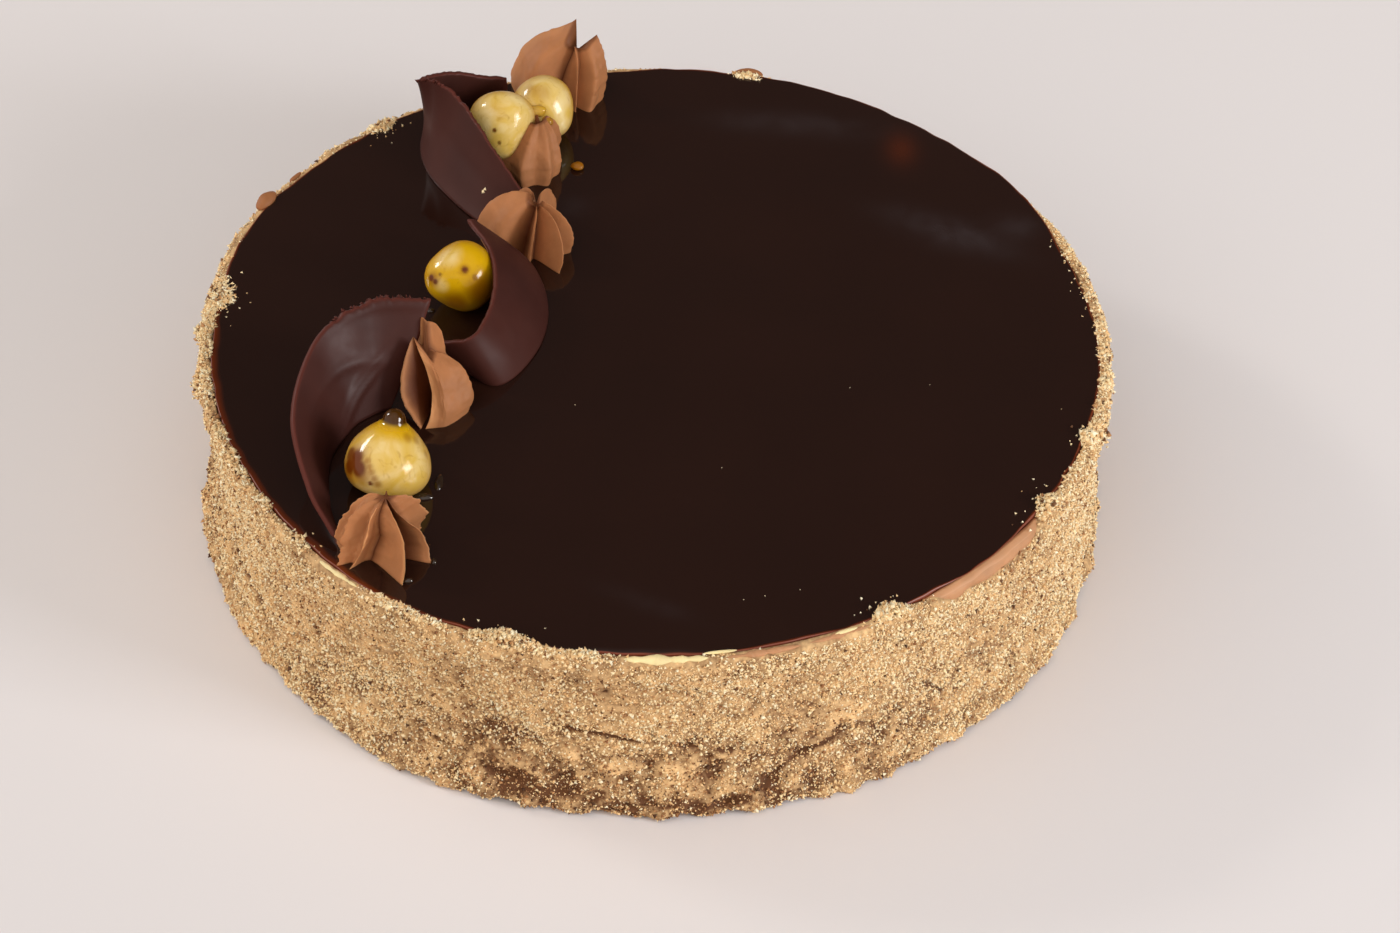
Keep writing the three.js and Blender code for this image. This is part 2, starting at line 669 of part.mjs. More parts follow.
const grownNuts = NUTS.map((place) => nut(place, GAP));
const grownCurls = CURLS.map((shape) => curl(shape, GAP));
const cutBy = (solid, others) => {
  return largestPiece(others.reduce((rest, other) => rest.subtract(other), solid));
};
CREAM_STARS.forEach((place, i) => {
  const star = cutBy(creamStar(place), [...grownNuts, ...grownCurls]);
  cake.add(toMesh(`rosette_${i + 1}`, star, MOCHA_CREAM));
});
NUTS.forEach((place, i) => {
  const kernel = cutBy(nut(place), [...grownNuts.slice(0, i), ...grownCurls]);
  cake.add(toMesh(`nut_${i + 1}`, kernel, CARAMEL_NUT));
});
CURLS.forEach((shape, i) => cake.add(toMesh(`curl_${i + 1}`, curl(shape), CHOCOLATE)));

export default cake;
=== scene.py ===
import bpy
import numpy as np
from mathutils import Matrix, Vector


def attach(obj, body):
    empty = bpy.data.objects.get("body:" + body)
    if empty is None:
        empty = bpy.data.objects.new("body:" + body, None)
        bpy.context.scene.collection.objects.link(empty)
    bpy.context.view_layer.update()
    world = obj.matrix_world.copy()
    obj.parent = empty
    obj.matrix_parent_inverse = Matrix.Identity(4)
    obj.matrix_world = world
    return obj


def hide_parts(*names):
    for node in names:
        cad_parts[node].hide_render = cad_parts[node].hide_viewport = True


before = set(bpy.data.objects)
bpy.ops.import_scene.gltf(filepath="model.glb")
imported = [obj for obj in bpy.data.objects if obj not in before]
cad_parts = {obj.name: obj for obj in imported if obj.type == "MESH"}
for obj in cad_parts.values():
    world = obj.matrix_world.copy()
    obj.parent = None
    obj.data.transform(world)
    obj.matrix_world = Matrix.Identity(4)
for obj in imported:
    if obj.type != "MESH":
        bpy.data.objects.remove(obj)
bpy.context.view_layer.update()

scene = bpy.context.scene

# Studio: a smooth pale table under soft light, brightest overhead and in front, dim low down behind the cake.
# Two large lamps stand to the left and to the right, each with a larger glint that only glossy faces show. The camera
# looks down on the cake from the front.
CAMERA_PLACE = Vector((0.011491, -0.680813, 0.624207))
CAMERA_PITCH = np.radians(42.255)
CAMERA_ROLL = np.radians(1.214)
FOCAL_LENGTH = 4000 / 1400
SENSOR_WIDTH = 36
TABLE_REACH, TABLE_LINES, TABLE_DROP = 4.0, 9, 0.0002
LAMP_AIM = Vector((0, 0, 0.03))


def linear(red, green, blue):
    """Colour as a screen shows it, 0 to 255, turned into linear light."""
    c = np.array([red, green, blue]) / 255
    c = np.where(c < 0.04045, c / 12.92, ((c + 0.055) / 1.055) ** 2.4)
    return (*c, 1.0)


def feed(tree, node, inputs):
    """Inputs of a shader node by name or number, each a value or the socket that feeds it."""
    for name, value in inputs.items():
        if isinstance(value, bpy.types.NodeSocket):
            tree.links.new(value, node.inputs[name])
        else:
            node.inputs[name].default_value = value


def add(tree, kind, inputs=None, **settings):
    """One shader node with its settings and its inputs."""
    made = tree.nodes.new(kind)
    for name, value in settings.items():
        setattr(made, name, value)
    feed(tree, made, inputs or {})
    return made


def calc(tree, operation, first, second, **settings):
    """Sum, product or larger one of two values."""
    return add(tree, "ShaderNodeMath", {0: first, 1: second}, operation=operation, **settings).outputs[0]


def noise(tree, scale, detail=2.0, distortion=0.0):
    """Cloudy pattern from 0 to 1 on the object's own coordinates."""
    place = add(tree, "ShaderNodeTexCoord").outputs["Object"]
    pattern = {"Vector": place, "Scale": scale, "Detail": detail, "Distortion": distortion}
    return add(tree, "ShaderNodeTexNoise", pattern).outputs[0]


def blend(tree, share, first, second):
    """Mix of two colours: first where share is 0, second where it is 1."""
    return add(tree, "ShaderNodeMix", {0: share, 6: first, 7: second}, data_type="RGBA").outputs[2]


def spread(tree, value, low, high, bottom=0.0, top=1.0):
    """Value drawn out from low..high to bottom..top, and held there beyond."""
    return add(tree, "ShaderNodeMapRange", {0: value, 1: low, 2: high, 3: bottom, 4: top}).outputs[0]


def new_finish(name):
    """Material with one Principled shader: the material, its node tree and the shader."""
    material = bpy.data.materials.new(name)
    material.use_nodes = True
    tree = material.node_tree
    tree.nodes.clear()
    shader = add(tree, "ShaderNodeBsdfPrincipled")
    add(tree, "ShaderNodeOutputMaterial", {"Surface": shader.outputs[0]})
    return material, tree, shader


table_finish, tree, shader = new_finish("pale table")
feed(tree, shader, {
    "Base Color": blend(tree, noise(tree, 3.0), linear(226, 219, 216), linear(221, 214, 211)), "Roughness": 0.75,
})

table_mesh = bpy.data.meshes.new("table")
side = np.linspace(-TABLE_REACH, TABLE_REACH, TABLE_LINES)
x, y = np.meshgrid(side, side, indexing="ij")
table_points = np.stack([x, y, np.full_like(x, -TABLE_DROP)], -1).reshape(-1, 3)
corner = (np.arange(TABLE_LINES - 1)[:, None] * TABLE_LINES + np.arange(TABLE_LINES - 1)).ravel()
table_quads = corner[:, None] + (0, TABLE_LINES, TABLE_LINES + 1, 1)
table_mesh.from_pydata(table_points.tolist(), [], table_quads.tolist())
table_mesh.materials.append(table_finish)
table = bpy.data.objects.new("table", table_mesh)
scene.collection.objects.link(table)

world = bpy.data.worlds.new("studio")
world.use_nodes = True
scene.world = world
tree = world.node_tree
tree.nodes.clear()
toward = add(tree, "ShaderNodeSeparateXYZ", {0: add(tree, "ShaderNodeTexCoord").outputs["Generated"]})
overhead = spread(tree, toward.outputs[2], 0.74, 0.98, 0.08, 0.8)
in_front = spread(tree, toward.outputs[1], 0.15, -0.8, 0.0, 1.1)
from_left = spread(tree, toward.outputs[0], -0.25, -0.95, 0.0, 1.05)
glow = calc(tree, "ADD", overhead, calc(tree, "ADD", in_front, from_left))
backdrop = add(tree, "ShaderNodeBackground", {"Color": (1.0, 0.97, 0.95, 1.0), "Strength": glow})
add(tree, "ShaderNodeOutputWorld", {"Surface": backdrop.outputs[0]})

for name, place, size, watts, colour, matt_faces in (
    ("left_lamp", (-1.25, 0.55, 0.85), (0.26, 0.2), 3.7, (1.0, 0.965, 0.93), True),
    ("right_lamp", (1.3, -0.6, 0.6), (0.45, 0.4), 12.2, (0.96, 1.0, 1.07), True),
    ("left_glint", (-1.3, 0.57, 0.9), (0.45, 0.36), 19, (1.0, 0.98, 0.96), False),
    ("right_glint", (1.35, -0.62, 0.63), (0.75, 0.65), 30, (1.0, 0.98, 0.96), False),
):
    light = bpy.data.lights.new(name, "AREA")
    light.shape = "RECTANGLE"
    light.size, light.size_y = size
    light.energy = watts
    light.color = colour
    lamp = bpy.data.objects.new(name, light)
    lamp.location = place
    lamp.rotation_euler = (LAMP_AIM - Vector(place)).to_track_quat("-Z", "Y").to_euler()
    lamp.visible_diffuse = matt_faces
    scene.collection.objects.link(lamp)

camera_data = bpy.data.cameras.new("camera")
camera_data.sensor_width = SENSOR_WIDTH
camera_data.lens = SENSOR_WIDTH * FOCAL_LENGTH
camera = bpy.data.objects.new("camera", camera_data)
tilt = Matrix.Rotation(np.pi / 2 - CAMERA_PITCH, 4, "X") @ Matrix.Rotation(CAMERA_ROLL, 4, "Z")
camera.matrix_world = Matrix.Translation(CAMERA_PLACE) @ tilt
scene.collection.objects.link(camera)
scene.camera = camera
scene.view_settings.view_transform = "Standard"

# Cake body: sponge and cream pressed into a low cylinder and rolled in fine biscuit crumb, so the side is a thick
# matt coat with cracks, a spread foot, and a collar that stands round the glaze. One stretch of rim is bare.
GLAZE_RADIUS = 100.0
GLAZE_TOP = 43.8
WALL_RADIUS = 103.5
COLLAR_TOP = 43.9
RECESS_FLOOR = 38.2
COAT_LINE = np.array([
    (103.0, 0.0), (105.0, 0.6), (105.2, 1.8), (103.8, 3.8), (102.2, 6.2), (101.2, 9.0), (100.8, 14.0), (100.8, 22.0),
    (101.2, 30.0), (101.9, 36.0), (102.8, 39.2), (103.1, 40.8), (102.8, 42.2), (102.2, 43.3), (101.4, 43.9),
    (100.2, 43.8),
])
COAT_STEPS = (880, 106)
RECESS_RADIUS = 100.1
# Arcs of the wall and rim in degrees, with how softly some of them begin and end.
BARE_ARC, BARE_SOFT = (306.0, 327.0), 4
BARE_LINE = [(304, 43.0), (311, 41.8), (318, 41.2), (323, 41.9), (328, 43.2)]
CREAM_SHOWS = [(226, 234), (268, 278), (280, 298)]
FLAT_ARC = (168.0, 224.0)
COARSE_ARC, COARSE_SOFT = (240.0, 306.0), 14
SPREAD_ARC = (222.0, 336.0)
FOOT_INSET = 2.2
FLAT_INSET = 2.1
FLAT_LINE = [(0, 0.8), (6, 1.6), (12, 3.0), (24, 3.2), (34, 2.5), (40, 2.4), (44, 2.0)]
SPARSE_ARC, SPARSE_SOFT, SPARSE_DROP = (95.0, 168.0), 6, 0.9
RUN_OVER_ARC, RUN_OVER_SOFT, RUN_OVER_DROP = (27.0, 90.0), 9, 1.7
# Each crack: depth, width, and a line of places in degrees round the wall and mm up it.
CRACKS = [
    (1.0, 0.5, [(260, 21.8), (265.5, 21), (270, 19.5), (276, 17.7), (281, 15.2)]),
    (1.0, 1.0, [(252, 6.4), (258, 5), (265, 4.4), (271, 3.6), (277, 3.2), (283, 3.6)]),
    (1.2, 0.5, [(285, 5), (288, 9.7), (291, 11.6), (295, 13.4)]),
    (0.9, 0.5, [(302, 36), (303.7, 37.3), (305.4, 37.4)]),
    (0.9, 0.6, [(244.7, 10), (251, 8.8), (257, 7)]),
    (0.8, 0.5, [(306, 19.4), (309.4, 13)]),
    (0.8, 0.6, [(20, 19), (27, 17), (34, 16)]),
    (0.9, 0.6, [(72, 22), (80, 23.5), (88, 22)]),
    (1.2, 0.8, [(118, 7), (128, 5.5), (139, 5)]),
    (0.9, 0.6, [(160, 20), (168, 18), (173, 15)]),
    (0.8, 0.6, [(200, 12), (209, 11), (215, 8)]),
]


def lattice(around, along, columns, rows, seed):
    """Value noise from -1 to 1: seeded draws on a lattice that closes round the cake, blended smoothly between."""
    draws = np.random.default_rng(seed).uniform(-1, 1, (columns, rows + 2))
    x, y = (around % 1) * columns, np.clip(along, 0, 1) * rows
    i, j = np.floor(x).astype(int), np.floor(y).astype(int)
    a, b = x - i, y - j
    a, b = a * a * (3 - 2 * a), b * b * (3 - 2 * b)
    i, k = i % columns, (i + 1) % columns
    low = (1 - a) * draws[i, j] + a * draws[k, j]
    high = (1 - a) * draws[i, j + 1] + a * draws[k, j + 1]
    return (1 - b) * low + b * high


def step(value, start, end):
    """Smooth step: 0 before start, 1 after end."""
    t = np.clip((value - start) / (end - start), 0, 1)
    return t * t * (3 - 2 * t)


def grid(columns, rows):
    """Two parameters on a grid: around, which closes on itself, and along, from 0 to 1."""
    return np.meshgrid(np.arange(columns) / columns, np.linspace(0, 1, rows), indexing="ij")


def spun(radius, turn, height):
    """Points at a distance from an upright axis, turned round it, and at a height."""
    return np.stack([radius * np.cos(turn), radius * np.sin(turn), height], -1)


def stretch(degrees, start, end, soft):
    """1 on the arc from start to end, 0 off it, soft at both ends."""
    return step(degrees, start - soft, start + soft) * (1 - step(degrees, end - soft, end + soft))


def crack_depth(degrees, height):
    """Depth of the cracks in mm: each is a bent line on the unrolled wall, deep at the line and fading beside it."""
    depth = np.zeros(np.broadcast(degrees, height).shape)
    millimetres = np.radians(1) * WALL_RADIUS
    for deep, wide, line in CRACKS:
        for (a, p), (b, q) in zip(line, line[1:]):
            x, y = (degrees - a) * millimetres, height - p
            dx, dy = (b - a) * millimetres, q - p
            t = np.clip((x * dx + y * dy) / (dx * dx + dy * dy), 0, 1)
            off = np.hypot(x - t * dx, y - t * dy)
            depth = np.maximum(depth, deep * np.exp(-((off / wide) ** 2)))
    return depth


coat_at = np.insert(np.cumsum(np.hypot(*np.diff(COAT_LINE, axis=0).T)), 0, 0)
coat_at /= coat_at[-1]


def coat_line(along):
    """Distance from the middle and height of the crumb coat's line, from foot to collar."""
    return np.interp(along, coat_at, COAT_LINE[:, 0]), np.interp(along, coat_at, COAT_LINE[:, 1])


def broken_cracks(around, along):
    """The cracks as they show on the coat: bridged by crumb here and there."""
    bridged = step(lattice(around, along, 210, 22, 8), -0.35, 0.3)
    return crack_depth(around * 360, coat_line(along)[1]) * (0.2 + 0.8 * bridged)


def flat_side(degrees):
    """How far the left side lies in, 0 to 1: the cake is not quite round there."""
    return stretch(degrees, *FLAT_ARC, 16)


def coat(around, along):
    """Crumb coat: the line from foot to collar spun round, pushed out across itself by bumps of four sizes that are
    coarser low down at the front, pressed in along the cracks, uneven at the foot. The left side lies further in, and
    so does the foot away from the front. The top is cut down along the bare stretch, where the collar is sparse and
    where the glaze ran over. Gives points, outward ways, and a shade value from the relief, painted into the coat's
    colour as light and shade: high on bumps, low in the cracks and low down, most at the front."""
    degrees = around * 360
    r, z = coat_line(along)
    (r1, z1), (r2, z2) = coat_line(np.clip(along - 0.012, 0, 1)), coat_line(np.clip(along + 0.012, 0, 1))
    length = np.hypot(r2 - r1, z2 - z1)
    out_r, out_z = (z2 - z1) / length, (r1 - r2) / length
    coarse = 0.3 + 0.7 * stretch(degrees, *COARSE_ARC, COARSE_SOFT)
    low = coarse * (1 - step(z, 12, 26))
    bumps = 0.3 * lattice(around, along, 40, 5, 1) + (0.34 + 0.5 * low) * lattice(around, along, 150, 14, 2)
    grit = (0.3 + 0.22 * low) * lattice(around, along, 260, 26, 3) + 0.28 * lattice(around, along, 560, 52, 4)
    foot = (0.2 + 0.7 * coarse) * lattice(around, 0 * along, 70, 1, 5) + 0.6 * lattice(around, along, 190, 20, 6)
    cracks = broken_cracks(around, along)
    fade = step(along, 0.0, 0.02) * (1 - 0.75 * step(along, 0.9, 1.0))
    relief = (bumps + grit + foot * (1 - step(z, 1.0, 7.0)) - cracks) * fade
    inset = flat_side(degrees) * np.interp(z, *np.transpose(FLAT_LINE))
    inset = inset + FOOT_INSET * (1 - stretch(degrees, *SPREAD_ARC, 12)) * (1 - step(z, 2.0, 9.0))
    r, z = r + relief * out_r - inset, np.maximum(z + relief * out_z, 0.0)
    bare, run_over = stretch(degrees, *BARE_ARC, BARE_SOFT), stretch(degrees, *RUN_OVER_ARC, RUN_OVER_SOFT)
    sparse = stretch(degrees, *SPARSE_ARC, SPARSE_SOFT) * step(lattice(around, 0 * along, 60, 1, 9), -0.5, 0.3)
    top = COLLAR_TOP - SPARSE_DROP * sparse - RUN_OVER_DROP * run_over
    cut = np.interp(degrees, *np.transpose(BARE_LINE)) + 0.6 * lattice(around, 0 * along, 260, 1, 7)
    top = top + bare * (cut - top)
    shoulder = RECESS_FLOOR - 1
    z = np.where(z > shoulder, shoulder + (z - shoulder) * (top - shoulder) / (COLLAR_TOP - shoulder), z)
    angle = np.radians(degrees)
    relief_shade = grit + (0.5 + 0.4 * low) * bumps - 2 * cracks - 0.35 * low
    return spun(r, angle, z), spun(out_r, angle, out_z), relief_shade


def closed_skin(rings, first, last):
    """Closed skin from rings of points, columns by rows, with a pole at each end, and facing out: points, quads and
    triangles."""
    columns, rows = rings.shape[:2]
    points = np.vstack([rings.reshape(-1, 3), first, last])
    i, j = np.arange(columns)[:, None], np.arange(rows - 1)
    k = (i + 1) % columns
    quads = np.stack([i * rows + j, k * rows + j, k * rows + j + 1, i * rows + j + 1], -1).reshape(-1, 4)
    i, k = i.ravel(), k.ravel()
    start = np.stack([k * rows, i * rows, np.full(columns, len(points) - 2)], 1)
    end = np.stack([i * rows + rows - 1, k * rows + rows - 1, np.full(columns, len(points) - 1)], 1)
    triangles = np.vstack([start, end])
    halves = np.vstack([triangles, quads[:, :3], quads[:, [0, 2, 3]]])
    a, b, c = (points[halves[:, n]] for n in range(3))
    if np.sum(a * np.cross(b, c)) < 0:
        quads, triangles = quads[:, ::-1], triangles[:, ::-1]
    return points, quads, triangles


def piece(name, skin, finish, marks=None, replaced=None):
    """Object from a skin, points in mm and tables of faces, and marks, values on the points that the finish reads."""
    points, *faces = skin
    mesh = bpy.data.meshes.new(name)
    corners = np.concatenate([table.ravel() for table in faces])
    sizes = np.concatenate([np.full(len(table), table.shape[1]) for table in faces])
    mesh.vertices.add(len(points))
    mesh.vertices.foreach_set("co", (points / 1000).astype(np.float32).ravel())
    mesh.loops.add(len(corners))
    mesh.loops.foreach_set("vertex_index", corners.astype(np.int32))
    mesh.polygons.add(len(sizes))
    mesh.polygons.foreach_set("loop_start", np.insert(np.cumsum(sizes)[:-1], 0, 0).astype(np.int32))
    mesh.update(calc_edges=True)
    mesh.validate()
    mesh.shade_smooth()
    for mark, values in (marks or {}).items():
        mesh.attributes.new(mark, "FLOAT", "POINT").data.foreach_set("value", values.astype(np.float32).ravel())
    mesh.materials.append(finish)
    made = bpy.data.objects.new(name, mesh)
    scene.collection.objects.link(made)
    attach(made, "root")
    if replaced:
        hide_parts(replaced)
    return made


def mark(tree, name):
    """Value that the piece carries on its points under that name."""
    return add(tree, "ShaderNodeAttribute", attribute_name=name).outputs["Fac"]


# The mottle blends two colours by the points' tone; on the crumb coat the tone is painted light and shade.
mottle = bpy.data.node_groups.new("baked mottle", "ShaderNodeTree")
for socket, kind in (("Dark", "NodeSocketColor"), ("Light", "NodeSocketColor"), ("Size", "NodeSocketFloat")):
    mottle.interface.new_socket(socket, in_out="INPUT", socket_type=kind)
mottle.interface.new_socket("Color", in_out="OUTPUT", socket_type="NodeSocketColor")
given = add(mottle, "NodeGroupInput")
speckle = spread(mottle, noise(mottle, given.outputs["Size"], 4.0), 0.3, 0.7, -0.2, 0.2)
shade = calc(mottle, "ADD", mark(mottle, "tone"), speckle, use_clamp=True)
add(mottle, "NodeGroupOutput", {"Color": blend(mottle, shade, given.outputs["Dark"], given.outputs["Light"])})


def crumb_finish(name, dark, light, size):
    """Dry crumb: between two browns by each grain's own tone and a fine mottle, quite matt. On the coat the tone is
    painted light and shade from its relief.
    """
    material, tree, shader = new_finish(name)
    browns = add(tree, "ShaderNodeGroup", {"Dark": dark, "Light": light, "Size": size}, node_tree=mottle)
    feed(tree, shader, {"Base Color": browns.outputs["Color"], "Roughness": 0.9, "Specular IOR Level": 0.25})
    return material


# The coat from its foot to the collar, then the floor of the recess that holds the cream.
around, along = grid(*COAT_STEPS)
coat_points, _, coat_relief_shade = coat(around, along)
degrees = around[:, :1] * 360
inside = RECESS_RADIUS - FLAT_INSET * flat_side(degrees)
inner = spun(inside, np.radians(degrees), np.full_like(degrees, RECESS_FLOOR))
skin = closed_skin(np.concatenate([coat_points, inner], 1), [(0, 0, 0)], [(0, 0, RECESS_FLOOR)])
# Painted light and shade: the coat's tone is lighter on bumps and darker in cracks, dips and low down.
tone = np.append(np.pad(0.5 + 0.6 * coat_relief_shade, ((0, 0), (0, 1))).ravel(), (0.5, 0.5))
packed_crumb = crumb_finish("packed crumb", linear(98, 60, 32), linear(240, 196, 138), 1100.0)
piece("crumb_coat", skin, packed_crumb, {"tone": tone}, "cake_body")

# Loose crumb: biscuit rubbed through a sieve, pale, straw and tan grains with brown and dark ones among them. Most
# stick to the wall; some are heaped in clumps that lap over the glaze, and a few lie strewn on it and on the toppings.
# Each kind: grains on the wall, in heaps and strewn; darkest and lightest colour; share low down, share in patches.
CRUMB_KINDS = {
    "pale": (45400, 3000, 30, linear(250, 222, 172), linear(255, 242, 206), 0.0, 0.5),
    "straw": (45400, 3000, 30, linear(244, 208, 152), linear(254, 230, 180), 0.0, 0.5),
    "tan": (45400, 3000, 30, linear(230, 184, 126), linear(250, 212, 156), 0.1, 0.3),
    "brown": (17400, 500, 5, linear(142, 92, 54), linear(202, 150, 98), 0.55, 0.0),
    "dark": (6900, 500, 5, linear(76, 46, 26), linear(130, 86, 52), 0.85, 0.0),
}
# Each clump: degrees round the rim, half width in degrees, reach inwards, rise, and share of the heaped grains.
CLUMPS = np.array([
    (78, 3, 0.5, 0.9, 3), (104, 4, 0.4, 0.7, 3), (131, 3, 2.0, 1.3, 4), (173, 5, 4.5, 1.8, 9),
    (179, 2.5, -3.0, 0.6, 6), (189, 3.5, -3.0, 0.4, 8), (240, 5, 0.5, 0.6, 4), (254, 5.5, 2.6, 3.2, 12),
    (263, 3, 0.6, 1.0, 3), (301, 3, 3.0, 2.8, 8), (329, 2.6, 2.6, 3.0, 8), (343, 2.2, 1.6, 1.6, 5),
    (345, 3.5, -2.6, 0.5, 6), (354, 5, -1.6, 0.5, 5), (4, 6, -1.2, 0.4, 5),
])
RAGGED_EDGE = np.array([(6 * n + 2 * np.sin(5 * n), 3.2, 0.7 + 0.6 * np.sin(7 * n), 0.7, 1.0) for n in range(60)])
KEPT_CLEAR = [*CREAM_SHOWS, BARE_ARC, RUN_OVER_ARC, SPARSE_ARC]
cleared = sum(stretch(RAGGED_EDGE[:, 0], start - 2, end + 2, 1) for start, end in KEPT_CLEAR)
CLUMPS = np.vstack([CLUMPS, RAGGED_EDGE[cleared < 0.5]])
# Each speck: place from the cake's middle, height over the glaze, size.
SPECKS = {
    "pale": [
        (21.2, -83, 0.1, 0.16), (25.6, -81.7, 0.1, 0.14), (32.9, -79.6, 0.1, 0.16), (16.2, -42.3, 0.1, 0.12),
        (44.2, -15.1, 0.1, 0.12), (61.9, -13.6, 0.1, 0.12), (-16.2, -22.8, 0.1, 0.12), (45.7, -82, 0.2, 0.4),
        (47.4, -84.6, 0.2, 0.5), (49.6, -87.6, 0.2, 0.4), (79, -55, 0.2, 0.45), (80.4, -57.5, 0.2, 0.4),
        (82, -60, 0.2, 0.5), (24.6, -98, 0.2, 0.7), (-39.5, 39, 10.0, 0.7), (-39.1, 39.6, 10.3, 0.5),
    ],
    "dark": [
        (-49.8, -20.3, 12.2, 0.5), (-48.1, -21.9, 12.0, 0.45), (-45.3, -22.8, 11.6, 0.5), (-27.6, 33.7, 12.0, 0.5),
    ],
}
TRIES = 8
HEAP_RADIUS, HEAP_DEPTH = 102.2, 2.2


def grains(places, size, seed):
    """Crumbs as four-sided grains: four corners at uneven distances from the middle, each grain turned at random."""
    draw = np.random.default_rng(seed)
    count = len(places)
    corners = np.array([(1, 1, 1), (1, -1, -1), (-1, 1, -1), (-1, -1, 1)]) / np.sqrt(3)
    sides = np.array([(0, 1, 2), (0, 3, 1), (0, 2, 3), (1, 3, 2)])
    turn = np.linalg.qr(draw.normal(size=(count, 3, 3)))[0]
    turn *= np.linalg.det(turn)[:, None, None]
    uneven = corners * draw.uniform(0.7, 1.4, (count, 4, 1)) * size[:, None, None]
    points = places[:, None] + uneven @ turn
    faces = sides + 4 * np.arange(count)[:, None, None]
    return points.reshape(-1, 3), faces.reshape(-1, 3)


# Brown and dark grains gathered in the cracks and low down, with pale ones kept out of the cracks, paint shade there.
def wall_places(draw, count, low_share, patch_share):
    """Places on the coat: even over the wall but for patches by patch_share, gathered low down and in the cracks by
    low_share, and left out where the rim is bare. Gives points and outward ways."""
    around, along = draw.random(TRIES * count), draw.uniform(0.03, 1.0, TRIES * count)
    height = coat_line(along)[1]
    patch = lattice(around, along, 26, 4, 11) + 0.8 * lattice(around, along, 70, 8, 12)
    cracks = np.clip(broken_cracks(around, along), 0, 1)
    foot = stretch(around * 360, 250, 284, 2) * (1 - step(height, 4.0, 7.0))
    coarse = 0.4 + 0.6 * stretch(around * 360, *COARSE_ARC, COARSE_SOFT)
    low = np.clip(coarse * (1.1 - height / 22), 0.1, 1) * np.clip(0.5 - 0.6 * patch, 0.05, 1)
    low = low + 1.5 * cracks + 1.5 * foot
    light = (1 - 0.85 * cracks) * (1 - 0.6 * foot) * np.clip(0.7 + patch_share * patch, 0.1, 1)
    wish = (1 - low_share) * light + low_share * low
    bare = stretch(around * 360, *BARE_ARC, 3) + 0.9 * stretch(around * 360, *RUN_OVER_ARC, 8)
    bare = bare + sum(stretch(around * 360, *arc, 1.5) for arc in CREAM_SHOWS)
    sparse = 0.85 * stretch(around * 360, *SPARSE_ARC, SPARSE_SOFT)
    wish = np.where(height > 43.0, wish * (1 - np.clip(bare + sparse, 0, 1)), wish)
    kept = draw.random(TRIES * count) < wish
    return coat(around[kept][:count], along[kept][:count])[:2]


def heap_places(draw, count):
    """Places in the clumps: thick over the collar, thinning to the reach of each clump, inwards or outwards."""
    shares = CLUMPS[:, 4] / CLUMPS[:, 4].sum()
    angle, wide, reach, rise, _ = CLUMPS[draw.choice(len(CLUMPS), count, p=shares)].T
    off = draw.triangular(-1, 0, 1, count)
    inward = reach * draw.random(count) ** 1.4 * (1 - np.abs(off))
    radius = HEAP_RADIUS - draw.random(count) * HEAP_DEPTH - inward - FLAT_INSET * flat_side(angle)
    slope = 1 - 0.6 * np.abs(inward) / (np.abs(reach) + 0.5)
    height = GLAZE_TOP - 0.6 + (0.4 + draw.random(count) * rise) * (1 - np.abs(off)) * slope
    height = height + np.minimum(inward, 0) * draw.uniform(0.3, 2.2, count)
    return spun(radius, np.radians(angle + wide * off), height)


def strewn_places(draw, count):
    """Places on the glaze: single grains that fell inwards from the larger clumps."""
    larger = CLUMPS[CLUMPS[:, 2] > 1.1]
    angle, wide, reach, _, _ = larger[draw.integers(0, len(larger), count)].T
    turn = np.radians(angle + 1.2 * wide * draw.normal(0, 0.6, count))
    radius = 100.5 - reach - draw.exponential(1.2, count)
    return spun(radius, turn, np.full(count, GLAZE_TOP + 0.1))


for number, (kind, (walled, heaped, fallen, dark, light, low_share, patch_share)) in enumerate(CRUMB_KINDS.items()):
    draw = np.random.default_rng(13 + number)
    on_wall, outward = wall_places(draw, walled, low_share, patch_share)
    wall_size = draw.gamma(4, 0.06, len(on_wall)).clip(0.13, 0.65)
    on_wall = on_wall + outward * (0.3 * wall_size)[:, None]
    in_heap, strewn = heap_places(draw, heaped), strewn_places(draw, fallen)
    specks = np.array(SPECKS.get(kind, [])).reshape(-1, 4)
    places = np.vstack([on_wall, in_heap, strewn, specks[:, :3] + (0, 0, GLAZE_TOP)])
    heap_size, strewn_size = draw.gamma(5, 0.09, heaped).clip(0.22, 1.0), draw.uniform(0.12, 0.4, fallen)
    size = np.concatenate([wall_size, heap_size, strewn_size, specks[:, 3]])
    places[:, 2] = np.maximum(places[:, 2], 0.9 * size)
    skin = grains(places, size, 19 + number)
    tone = np.repeat(draw.random(len(places)), 4)
    finish = crumb_finish(kind + " crumb", dark, light, 1500.0)
    piece("crumbs_" + kind, skin, finish, {"tone": tone})

# Cream layer: smooth mocha butter cream spread over the sponge under the glaze. It shows along the bare stretch of rim,
# wiped flush with the wall by a knife, in lumps on the back rim, in smears on the front rim, and as pale beads squeezed
# out under the glaze, where two pale flakes stick.
CREAM_BOTTOM = 38.5
CREAM_TOP = 42.1
CREAM_STEPS = (720, 20)
# Each lump and flake: distance from the middle, degrees round the rim, height, and half sizes outward, sideways and up.
LUMPS = [
    (101.8, 152.6, 43.6, (2.0, 3.4, 1.7)), (102.9, 78, 43.0, (1.6, 3.2, 1.4)), (102.0, 146, 42.5, (0.9, 2.4, 0.8)),
]
STRIP_LINE = np.array([
    (0, 99.6, 38.5), (0.15, 101.0, 38.8), (0.3, 101.9, 40.2), (0.5, 102.3, 41.4), (0.68, 102.0, 42.5),
    (0.8, 101.2, 43.4), (0.9, 100.3, 43.8), (0.96, 99.7, 43.7), (1, 99.2, 42.2),
]).T
